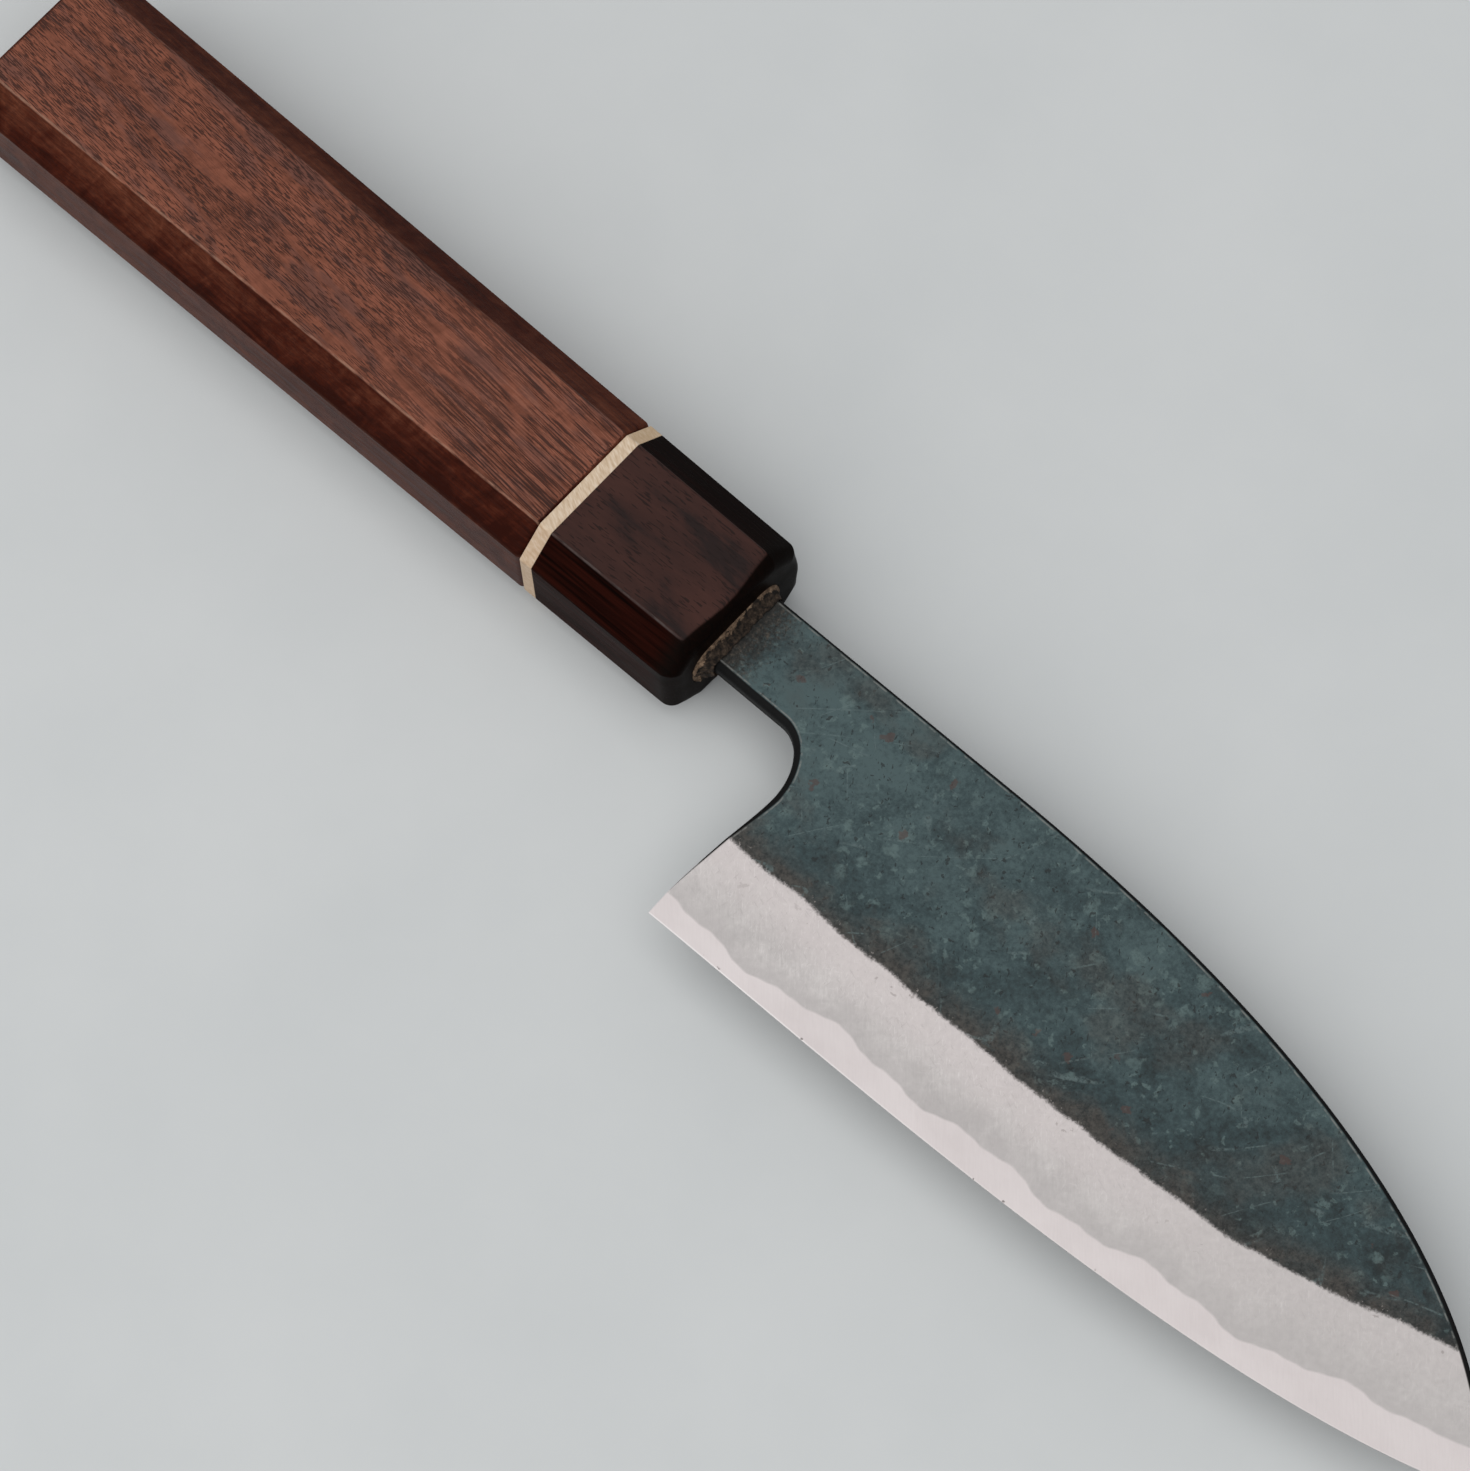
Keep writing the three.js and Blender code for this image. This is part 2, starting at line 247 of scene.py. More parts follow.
def walnutFinish():
    look = Finish("oiled walnut")
    grain = look.turned(walnutWood["grainTurn"], walnutWood["grainTilt"])
    atButt = look.remap(look.x, handle["butt"] + 0.7, handle["butt"] + 0.2)
    beside = look.minus(1, atButt)
    broad = look.times(look.broadFace(), beside)
    upright = look.size(look.z)
    onSide = look.times(look.remap(upright, sideTop + 0.05, sideTop - 0.15), beside)
    # painted shade and light: chamfers are painted darker than the faces, most of all on the edge's side, and
    # the broad faces lighter than the sides
    chamferLow = look.remap(look.y, -8, 8, 0.06, 0.3)
    chamferRise = look.remap(upright, sideTop + 0.05, broadTop - 0.15)
    chamferRise = look.times(chamferRise, look.remap(look.y, -8, 8, 0.17, 0.12))
    chamferTone = look.times(look.add(chamferLow, chamferRise), beside)
    faceTone = look.most(look.times(broad, 0.65), look.times(onSide, 0.3))
    # year rings on the butt's end grain
    bent = look.sway(look.cloud(look.place, (0.04, 0.07, 0.07), detail=2), 16)
    ringPlace = look.add(look.timesPlus(look.y, 0.7, look.z), bent)
    rings = look.calc("SINE", look.times(ringPlace, walnutWood["ringPitch"]))
    buttTone = look.times(atButt, look.timesPlus(rings, 0.05, 0.33))
    wander = look.cloud(grain, (0.014, 0.1, 0.1), detail=3)
    streak = look.cloud(grain, (0.035, 1.5, 1.5), detail=5, rough=0.6)
    curlGrain = look.turned(walnutWood["curlTurn"])
    curl = look.cloud(curlGrain, (0.5, 0.25, 0.4), detail=5, rough=0.65, twist=0.6)
    tone = look.add(look.most(chamferTone, faceTone, buttTone), look.sway(wander, 0.8),
                    look.sway(streak, 0.6), look.sway(curl, look.remap(broad, 0, 1, 0.6, 0.55)))
    dusk = look.cloud(grain, (0.1, 0.42, 0.42), detail=4, rough=0.6, shift=(1, 6, 2))
    # pores: short dashes in swathes, drawn out into lines toward the ferrule
    drawn = look.remap(look.x, -62, -34, 0.1, 0.95)
    crowd = look.cloud(grain, (0.06, 0.25, 0.25), detail=2)
    limit = look.remap(crowd, 0.36, 0.64, 0.55, 0.5)
    dashCloud = look.cloud(grain, (0.6, 9.2, 9.2), detail=1, rough=0.4)
    dashes = look.remap(dashCloud, limit, look.add(limit, 0.03))
    lineCloud = look.cloud(grain, (0.09, 5.2, 5.2), detail=2, rough=0.5)
    lines = look.remap(lineCloud, 0.52, 0.57)
    pores = look.most(look.times(dashes, look.minus(1, look.times(drawn, 0.6))), look.times(lines, drawn))
    swathe = look.remap(look.size(look.minus(wander, 0.485)), 0.005, 0.016, 0.22, 1)
    pores = look.times(pores, look.remap(look.most(broad, atButt), 0, 1, 0.45, 1), swathe)
    wood = look.coat(look.ramp(tone, walnutWood["tones"]), walnutWood,
                     dusk=look.times(look.remap(dusk, 0.47, 0.62), broad, 0.55),
                     paleLine=look.times(look.remap(lineCloud, 0.47, 0.38), drawn, broad, 0.5),
                     pore=look.times(pores, 0.88),
                     # worn corners with a painted highlight
                     rubbed=look.rubbedCorners(0.24, 0.08, 0.7))
    return look.give(colour=wood, rough=look.remap(streak, 0.3, 0.7, 0.42, 0.56),
                     gloss=look.most(look.times(broad, 0.22), look.times(onSide, 0.17), 0.03),
                     glossTint=walnutWood["glossTint"],
                     normal=look.relief(look.minus(1, pores), 0.06, 0.7))


rosewoodWood = dict(
    grainTurn=-1.3, grainTilt=-1,
    tones=((0.4, (0.014, 0.0078, 0.0075)), (0.47, (0.033, 0.0135, 0.011)), (0.64, (0.05, 0.02, 0.0155))),
    # painted shade for the sides, chamfers and nose
    sideTones=((0.35, (0.003, 0.0008, 0.0005)), (0.65, (0.02, 0.0037, 0.0021))),
    spineSide=(0.0025, 0.001, 0.0007), nose=(0.0035, 0.0026, 0.0021), pore=(0.0085, 0.0048, 0.0044),
    # pale grey corner colour: wear, partly a painted highlight
    rubbed=(0.11, 0.09, 0.082), glossTint=(1, 0.85, 0.8, 1))


def rosewoodFinish():
    look = Finish("dark rosewood")
    grain = look.turned(rosewoodWood["grainTurn"], rosewoodWood["grainTilt"])
    broad = look.broadFace()
    wander = look.cloud(grain, (0.05, 0.16, 0.16), detail=5, twist=0.6, shift=(3, 7, 1))
    streak = look.cloud(grain, (0.05, 1.8, 1.8), detail=5, rough=0.6)
    pores = look.remap(look.cloud(grain, (0.55, 4.2, 4.2), detail=1), 0.6, 0.65)
    tone = look.add(look.times(wander, 0.8), look.times(streak, 0.2))
    wood = look.coat(look.ramp(tone, rosewoodWood["tones"]), rosewoodWood, pore=look.times(pores, 0.75))
    # painted shade: sides, chamfers and nose are painted nearly black, darkest on the spine's side and at the
    # nose
    deep = look.coat(look.ramp(streak, rosewoodWood["sideTones"]), rosewoodWood,
                     spineSide=look.remap(look.y, 4, 10, 0, 0.8),
                     nose=look.remap(look.x, -4.5, -1.2, 0, 0.85))
    # worn corners with a painted highlight
    wood = look.coat(look.blend(broad, deep, wood), rosewoodWood, rubbed=look.rubbedCorners(0.2, 0.1, 0.5))
    return look.give(colour=wood, rough=look.remap(wander, 0.3, 0.7, 0.3, 0.42),
                     gloss=look.remap(broad, 0, 1, 0.012, 0.12), glossTint=rosewoodWood["glossTint"],
                     normal=look.relief(look.minus(1, pores), 0.03, 0.4))


mapleWood = dict(
    grainTurn=25,
    tones=((0.34, (0.5, 0.36, 0.235)), (0.52, (0.62, 0.475, 0.335)), (0.68, (0.71, 0.585, 0.455))),
    # painted shade on the edge's side and painted warm light on the spine's side
    shade=(0.36, 0.22, 0.125), warm=(0.6, 0.4, 0.21))


def mapleFinish():
    look = Finish("pale maple")
    speckle = look.cloud(look.turned(mapleWood["grainTurn"]), (0.7, 3.2, 3.2), detail=5)
    offFace = look.minus(1, look.broadFace())
    # painted shade on the edge's side and painted warm light on the spine's side of the chamfers and sides
    wood = look.coat(look.ramp(speckle, mapleWood["tones"]), mapleWood,
                     shade=look.times(offFace, look.remap(look.y, 8, -8, 0, 0.4)),
                     warm=look.times(offFace, look.remap(look.y, 2, 9, 0, 0.5)))
    return look.give(colour=wood, rough=look.remap(speckle, 0.3, 0.7, 0.52, 0.42), gloss=0.3,
                     normal=look.relief(speckle, 0.03, 0.4))


beechTones = ((0.35, (0.33, 0.2, 0.12)), (0.65, (0.5, 0.34, 0.22)))


def beechFinish():
    look = Finish("plain beech")
    fleck = look.cloud(look.place, (0.12, 1.4, 1.4))
    return look.give(colour=look.ramp(fleck, beechTones), rough=look.remap(fleck, 0.3, 0.7, 0.55, 0.68),
                     normal=look.relief(fleck, 0.04, 0.5))


driedFiller = dict(
    dirty=((0.42, (0.012, 0.009, 0.007)), (0.54, (0.042, 0.028, 0.019)), (0.68, (0.095, 0.066, 0.045))),
    clean=((0.36, (0.045, 0.029, 0.019)), (0.5, (0.16, 0.103, 0.066)), (0.64, (0.29, 0.195, 0.125))))


def puttyFinish():
    look = Finish("dried filler")
    crumb = look.cloud(look.place, 1.5, detail=6, rough=0.7)
    patchy = look.cloud(look.place, 0.4, detail=3, shift=(2, 0, 3))
    reach = look.add(look.ownValue("fromNeck"), look.sway(crumb, 1.0), look.sway(patchy, 1.4))
    # darker tones inside the mouth toward the neck, paler on the outer lip
    outer = look.remap(reach, 0.7, 0.86)
    colour = look.blend(outer, look.ramp(crumb, driedFiller["dirty"]), look.ramp(crumb, driedFiller["clean"]))
    return look.give(colour=colour, rough=look.remap(crumb, 0.3, 0.7, 0.85, 0.7), gloss=0.2,
                     normal=look.relief(crumb, 0.25, 0.9))


# near-black of the walls and rounded arrises: forge scale, painted darker than the flat's scale as painted
# shade
forgeBlack = (0.007, 0.007, 0.007)
brushTurn = 47.6  # lie of the grinding marks, degrees
blackIron = dict(
    tones=((0.37, (0.012, 0.0195, 0.0205)), (0.5, (0.0315, 0.0535, 0.0565)), (0.62, (0.06, 0.094, 0.096))),
    brownTones=((0.36, (0.017, 0.015, 0.0128)), (0.62, (0.068, 0.058, 0.049))),
    crumbTones=((0.4, (0.01, 0.008, 0.006)), (0.55, (0.03, 0.023, 0.018)), (0.68, (0.09, 0.068, 0.048))),
    fleck=(0.098, 0.143, 0.138), pit=(0.011, 0.012, 0.012), rust=(0.07, 0.036, 0.029),
    scratch=(0.11, 0.15, 0.148), glint=(0.3, 0.27, 0.25), worn=(0.2, 0.2, 0.185), rim=forgeBlack,
    tickTurn=62, scratchTurns=(-45, -28, -60, 52))


# black scale on the flat: blotches, pale flecks, pits, brown patches, rust, scratches, and a near-black rim
# that is scale and painted shade
def blackScale(look, depth, rim, fine, slow, shaken):
    place = look.place
    blotch = look.cloud(place, (0.13, 0.15, 0.15), detail=6, rough=0.64, twist=0.5)
    grit = look.cloud(place, 1.5, detail=5, rough=0.74)
    tone = look.add(look.times(blotch, 0.55), look.times(grit, 0.45))
    tone = look.add(tone, look.remap(depth, -4, -14, 0, 0.055))  # paler toward the spine
    tone = look.add(tone, look.remap(look.x, 20, 90, 0.012, -0.045))  # and darker toward the tip
    zone = look.cloud(place, (0.05, 0.06, 0.06), detail=2, shift=(4, 1, 7))
    large = look.times(look.spots(shaken, 0.36, 0.4, 0.52, inner=0.55), look.remap(zone, 0.38, 0.52))
    small = look.spots(shaken, 0.8, 0.38, 0.6, shift=(7, 2, 0), inner=0.55)
    ticks = look.cloud(look.turned(blackIron["tickTurn"]), (1.1, 3.4, 1), detail=2)
    pits = look.most(look.spots(shaken, 1, 0.27, 0.7, shift=(3, 3, 0)), look.remap(ticks, 0.66, 0.72))
    patch = look.remap(look.cloud(place, (0.08, 0.1, 0.1), detail=5, shift=(5, 2, 0)), 0.52, 0.66)
    band = look.remap(look.add(depth, look.sway(blotch, 14)), -5.0, 0.4)
    rust = look.spots(shaken, 0.4, 0.28, 0.87, shift=(1, 8, 0))
    # thin scratches follow the level lines of slow clouds
    scratch = 0.0
    for number, angle in enumerate(blackIron["scratchTurns"]):
        lie = look.turned(angle)
        slowly = look.cloud(lie, (0.02, 0.11, 0.05), detail=1, shift=(number, 7 * number, 0))
        level = look.size(look.minus(slowly, 0.5))
        gaps = look.cloud(lie, (0.12, 0.3, 0.3), detail=2, shift=(number, 3, 0))
        stroke = look.times(look.remap(level, 0.006, 0.002), look.remap(gaps, 0.56, 0.62))
        scratch = look.most(scratch, stroke)
    root = look.remap(look.add(look.x, look.sway(fine, 10)), 7.0, 2.2)  # crumbs of filler round the neck
    glints = look.spots(shaken, 1.9, 0.3, 0.72, shift=(2, 9, 0))  # bare specks along the grinding line
    byBevel = look.remap(look.add(depth, look.sway(slow, 1.6)), -1.5, -0.3)
    wearing = look.remap(look.cloud(place, 0.5, detail=5, rough=0.7), 0.4, 0.58)
    colours = dict(blackIron, brown=look.ramp(grit, blackIron["brownTones"]),
                   crumbs=look.ramp(grit, blackIron["crumbTones"]))
    scale = look.coat(
        look.ramp(tone, blackIron["tones"]), colours,
        fleck=look.times(look.most(large, small), look.remap(grit, 0.36, 0.6, 0.25, 0.75)),
        pit=look.times(pits, 0.7),
        brown=look.most(look.times(patch, 0.42), look.times(band, 0.9)),
        rust=look.times(rust, 0.6),
        scratch=look.times(scratch, look.remap(fine, 0.36, 0.6), 0.6),
        crumbs=look.times(root, 0.9),
        glint=look.times(glints, byBevel, 0.65),
        # pale worn line just inside the black rim, partly a painted highlight on the arris
        worn=look.times(look.remap(rim, 0.36, 0.48), look.remap(rim, 0.68, 0.52), wearing, 0.75),
        # near-black rim on the walls and arrises: scale, and painted shade
        rim=look.remap(rim, 0.42, 0.26))
    return scale, grit, look.minus(tone, look.times(pits, 0.4))


paleNick = (0.6, 0.57, 0.555)
groundBevel = dict(
    tones=((0.41, (0.335, 0.316, 0.307)), (0.59, (0.465, 0.437, 0.424))),
    rosy=(0.472, 0.43, 0.42), dull=(0.36, 0.337, 0.329), tip=(0.385, 0.362, 0.351),
    speck=(0.2, 0.175, 0.165), weld=(0.505, 0.461, 0.453),
    # lie, limit, strength and colour of each set of nicks
    nicks=((brushTurn, 0.6, 0.28, paleNick), (75, 0.61, 0.25, (0.58, 0.55, 0.535)),
           (20, 0.61, 0.3, (0.28, 0.26, 0.25)), (-30, 0.62, 0.2, paleNick),
           (100, 0.63, 0.3, (0.28, 0.255, 0.245))))


# ground bevel: soft clouds and short slanting nicks, duller toward the weld and the tip
def groundSteel(look, depth, shaken):
    toWeld = look.ownValue("toWeld")
    brushed = look.cloud(look.turned(brushTurn), (0.3, 3, 1), detail=5, rough=0.65)
    cloudy = look.cloud(look.place, 0.3, detail=6, rough=0.66, twist=0.4)
    slowCloud = look.cloud(look.place, (0.07, 0.08, 0.08), detail=3)
    sheen = look.add(look.times(brushed, 0.32), look.times(cloudy, 0.4), look.times(slowCloud, 0.28))
    steel = look.coat(look.ramp(sheen, groundBevel["tones"]), groundBevel,
                      rosy=look.remap(look.add(depth, look.sway(cloudy, 7)), 8.0, 1.2, 0, 0.8),
                      dull=look.remap(look.add(toWeld, look.sway(cloudy, 3)), 4.2, 0.4, 0, 0.7),
                      tip=look.remap(look.x, 65, 105, 0, 0.55))
    nicked = look.remap(look.add(toWeld, look.sway(slowCloud, 8)), 1, 5, 0.25, 1)
    nicked = look.times(nicked, look.remap(look.x, 55, 95, 1, 0.5))
    for angle, limit, strength, colour in groundBevel["nicks"]:
        nick = look.cloud(look.turned(angle), (0.7, 5, 1), detail=3, rough=0.6, shift=(angle, 4, 0))
        share = look.times(look.remap(nick, limit, limit + 0.06), strength, nicked)
        steel = look.blend(share, steel, colour)
    specks = look.spots(shaken, 0.8, 0.24, 0.78, shift=(6, 1, 0))
    steel = look.coat(steel, groundBevel, speck=look.times(specks, look.remap(depth, 6, 0.5), 0.5),
                      weld=look.remap(toWeld, 0.16, 0, 0, 0.5))
    return steel, brushed


def forgedFinish():
    look = Finish("forged iron")
    depth = look.ownValue("bevelDepth")
    rim = look.ownValue("rim")
    fine = look.cloud(look.place, 2.4, detail=5, rough=0.68)
    slow = look.cloud(look.place, 0.1, detail=2, shift=(2, 5, 1))
    line = look.add(depth, look.sway(slow, 1.6), look.sway(fine, 1.1))
    ground = look.times(look.remap(line, -0.28, 0.32), look.remap(rim, 0.3, 0.5))
    shaken = look.ragged(look.ragged(look.place, 0.45, 3.0), 1.7, 0.9)
    scale, grit, scaleHeight = blackScale(look, depth, rim, fine, slow, shaken)
    steel, brushed = groundSteel(look, depth, shaken)
    grain = look.remap(look.add(grit, look.sway(brushed, 0.6)), 0.3, 0.7, 0.48, 0.58)
    height = look.add(look.times(look.minus(1, ground), scaleHeight), look.times(ground, brushed, 0.12))
    return look.give(colour=look.blend(ground, scale, steel), metal=ground,
                     rough=look.timesPlus(ground, -0.16, grain),
                     gloss=look.remap(rim, 0.25, 0.5, 0.05, 0.26), normal=look.relief(height, 0.07, 0.7))


coreBand = dict(
    tones=((0.38, (0.475, 0.432, 0.425)), (0.62, (0.535, 0.49, 0.482))),
    weld=(0.4, 0.374, 0.365), honed=(0.66, 0.63, 0.62), chip=(0.11, 0.095, 0.09), spine=forgeBlack)


def coreFinish():
    look = Finish("core steel")
    black = look.ownValue("forgeBlack")
    fromEdge = look.ownValue("fromEdge")
    brushed = look.cloud(look.turned(brushTurn), (0.35, 4, 1), detail=4, rough=0.6)
    cloudy = look.cloud(look.place, (0.12, 0.2, 0.2), detail=4)
    sheen = look.add(look.times(brushed, 0.3), look.times(cloudy, 0.7))
    chips = look.spots(look.ragged(look.place, 1.5, 0.8), 0.9, 0.2, 0.8)
    colour = look.coat(
        look.ramp(sheen, coreBand["tones"]), coreBand,
        weld=look.remap(look.ownValue("fromWeld"), 0.16, 0, 0, 0.5),
        # paler honed steel along the edge, partly a painted highlight of the micro-bevel
        honed=look.times(look.remap(fromEdge, 0.2, 0.1), look.remap(look.x, 80, 25, 0.15, 0.7)),
        chip=look.times(chips, look.remap(fromEdge, 0.45, 0.15), 0.8),
        # black spine: scale, and painted shade
        spine=black)
    rough = look.add(look.remap(sheen, 0.3, 0.7, 0.3, 0.38), look.times(black, 0.2))
    return look.give(colour=colour, metal=look.minus(1, black), rough=rough, gloss=0.1,
                     normal=look.relief(brushed, 0.01, 0.5))


floorTones = ((0.3, (0.575, 0.59, 0.587)), (0.7, (0.615, 0.626, 0.62)))


def floorFinish():
    look = Finish("pale floor")
    mottle = look.cloud(look.place, 0.02, detail=6, rough=0.6)
    return look.give(colour=look.ramp(mottle, floorTones), rough=look.remap(mottle, 0.3, 0.7, 0.85, 0.75),
                     gloss=0.2)


walnut = walnutFinish()
rosewood = rosewoodFinish()
maple = mapleFinish()
putty = puttyFinish()
forgedIron = forgedFinish()
steel = coreFinish()
print("finishes ready")


# a shape grown by Geometry Nodes, with named inputs for its sizes
class Shape(Tree):
    def __init__(self, name, numbers, counts):
        super().__init__(bpy.data.node_groups.new(name, "GeometryNodeTree"))
        kinds = {label: "NodeSocketFloat" for label in numbers}
        kinds.update({label: "NodeSocketInt" for label in counts})
        kinds["Finish"] = "NodeSocketMaterial"
        self.identifiers = {}
        for label, kind in kinds.items():
            socket = self.tree.interface.new_socket(label, in_out="INPUT", socket_type=kind)
            self.identifiers[label] = socket.identifier
        self.tree.interface.new_socket("Piece", in_out="OUTPUT", socket_type="NodeSocketGeometry")
        self.given = self.node("NodeGroupInput").outputs
        self.here = self.node("GeometryNodeInputPosition").outputs[0]

    def close(self, geometry):  # smooth, real and coated
        smooth = self.node("GeometryNodeSetShadeSmooth", {"Geometry": geometry})
        real = self.node("GeometryNodeRealizeInstances", {"Geometry": smooth.outputs[0]})
        coated = self.node("GeometryNodeSetMaterial", {
            "Geometry": real.outputs[0], "Material": self.given["Finish"]})
        self.node("NodeGroupOutput", {0: coated.outputs[0]})


# eight-sided bar: an octagon swept along the handle, with a taper, eased ends and a rounded nose
def octagonBar():
    sizes = ("Back", "Front", "Back Width", "Front Width", "Thickness", "Chamfer", "Arris", "Nose",
             "Side Nose", "Spine Nose", "Spine Corner", "Corner Nose", "Ease")
    shape = Shape("octagon bar", sizes, ("Rows", "Cuts"))
    given = shape.given
    curve = shape.node("GeometryNodeCurvePrimitiveQuadrilateral", {
        "Width": given["Front Width"], "Height": given["Thickness"]}).outputs[0]
    for radius, count in (("Chamfer", 1), ("Arris", 4)):
        curve = shape.node("GeometryNodeFilletCurve", {
            "Curve": curve, "Radius": given[radius], "Count": count}, mode="POLY").outputs[0]
    section = shape.node("GeometryNodeSubdivideCurve", {"Curve": curve, "Cuts": given["Cuts"]})
    path = shape.node("GeometryNodeCurvePrimitiveLine", {"End": (1, 0, 0)})
    rows = shape.node("GeometryNodeResampleCurve", {"Curve": path.outputs[0], "Count": given["Rows"]})
    sweep = shape.node("GeometryNodeCurveToMesh", {
        "Curve": rows.outputs[0], "Profile Curve": section.outputs[0], "Fill Caps": True})
    along, aside, upright = shape.split(shape.here)
    swing = shape.calc("COSINE", shape.times(along, math.pi))
    share = shape.timesPlus(swing, -0.5, 0.5)  # rows crowd toward both ends
    x = shape.timesPlus(share, shape.minus(given["Front"], given["Back"]), given["Back"])
    growth = shape.minus(given["Back Width"], given["Front Width"])
    growth = shape.times(growth, shape.minus(1, share))
    width = shape.add(given["Front Width"], growth)
    y = shape.timesPlus(shape.times(shape.calc("SIGN", aside), 0.5), growth, aside)

    def roundOff(radius, distance):
        short = shape.most(shape.minus(radius, distance), 0)
        drop = shape.minus(shape.times(radius, radius), shape.times(short, short))
        return shape.minus(radius, shape.calc("SQRT", shape.most(drop, 0)))

    def nearCorner(value, end):  # one at the corner before a face's end, none at its middle and its end
        corner = shape.minus(end, given["Chamfer"])
        return shape.times(shape.remap(value, 0, corner), shape.remap(value, end, corner))

    toFront = shape.minus(given["Front"], x)
    toBack = shape.minus(x, given["Back"])
    eased = roundOff(given["Ease"], shape.calc("MINIMUM", toFront, toBack))

    def shrink(radius, full):  # the section's share left beside the nose and the eased ends
        inset = shape.most(eased, roundOff(radius, toFront))
        return shape.minus(1, shape.calc("DIVIDE", shape.times(inset, 2), full))

    byBroad = nearCorner(shape.size(aside), shape.times(given["Front Width"], 0.5))
    nose = shape.timesPlus(byBroad, given["Corner Nose"], given["Nose"])
    bySide = nearCorner(shape.size(upright), shape.times(given["Thickness"], 0.5))
    spineNose = shape.timesPlus(bySide, given["Spine Corner"], given["Spine Nose"])
    rounder = shape.minus(spineNose, given["Side Nose"])
    sideNose = shape.timesPlus(shape.remap(aside, -2, 2), rounder, given["Side Nose"])
    moved = shape.join(x, shape.times(y, shrink(sideNose, width)),
                       shape.times(upright, shrink(nose, given["Thickness"])))
    shaped = shape.node("GeometryNodeSetPosition", {"Geometry": sweep.outputs[0], "Position": moved})
    shape.close(shaped.outputs[0])
    return shape


def growPiece(name, shape, values, cutter=None):
    grower = makeObject(name + "_grower", bpy.data.meshes.new(name))
    nodes = grower.modifiers.new("shape", "NODES")
    nodes.node_group = shape.tree
    for label, value in values.items():
        nodes[shape.identifiers[label]] = value
    if cutter:
        cut = grower.modifiers.new("slot", "BOOLEAN")
        cut.operation = "DIFFERENCE"
        cut.solver = "EXACT"
        cut.object = cutter
    even = grower.modifiers.new("even shading", "WEIGHTED_NORMAL")
    even.keep_sharp = True
    mesh = plainMesh(grower, name)
    mesh.transform(toRow)
    bpy.data.objects.remove(grower)
    return makeObject(name, mesh)


bar = octagonBar()
common = {"Thickness": handle["thickness"], "Chamfer": handle["chamfer"]}
grip = growPiece("walnut_grip", bar, {
    **common, "Back": handle["butt"], "Front": handle["ring"], "Back Width": handle["buttWidth"],
    "Front Width": handle["ringWidth"], "Arris": 0.4, "Ease": 0.8, "Rows": 110, "Finish": walnut})
ring = growPiece("maple_ring", bar, {
    **common, "Back": handle["ring"], "Front": handle["collar"], "Back Width": handle["ringWidth"],
    "Front Width": handle["collarWidth"], "Arris": 0.35, "Ease": 0.05, "Rows": 9, "Finish": maple})

# mouth of the ferrule, cut by a rounded block
mouth = dict(top=7.5, bottom=-7.9, half=3.8, corner=3.2, depth=5.0, proud=2.0, cornerSteps=10)
mouthMiddle = (mouth["top"] + mouth["bottom"]) / 2


def mouthCutter():
    upDown = (mouth["top"] - mouth["bottom"]) / 2 - mouth["corner"]
    leftRight = mouth["half"] - mouth["corner"]
    outline = []
    for toY, toZ, start in ((1, 1, 0), (-1, 1, 90), (-1, -1, 180), (1, -1, 270)):
        for k in range(mouth["cornerSteps"] + 1):
            angle = math.radians(start + 90 * k / mouth["cornerSteps"])
            outline.append((mouthMiddle + toY * upDown + mouth["corner"] * math.cos(angle),
                            toZ * leftRight + mouth["corner"] * math.sin(angle)))
    count = len(outline)
    points = [(x, y, z) for x in (-mouth["depth"], mouth["proud"]) for y, z in outline]
    faces = [tuple(reversed(range(count))), tuple(range(count, 2 * count))]
    faces += [(k, (k + 1) % count, count + (k + 1) % count, count + k) for k in range(count)]
    mesh = bpy.data.meshes.new("mouth cutter")
    mesh.from_pydata(points, [], faces)
    return makeObject("mouth_cutter", mesh)


cutter = mouthCutter()
collar = growPiece("rosewood_ferrule", bar, {
    **common, "Back": handle["collar"], "Front": handle["front"], "Back Width": handle["collarWidth"],
    "Front Width": handle["frontWidth"], "Arris": 0.35, "Nose": 1.3, "Side Nose": 2.1, "Spine Nose": 0.8,
    "Spine Corner": 0.8, "Corner Nose": 1.0, "Ease": 0.05, "Rows": 72, "Cuts": 6, "Finish": rosewood}, cutter)
bpy.data.objects.remove(cutter)
dressPiece(grip, "handle_body", walnut)
dressPiece(ring, "spacer_ring", maple)
dressPiece(collar, "ferrule", rosewood)
print("handle grown")


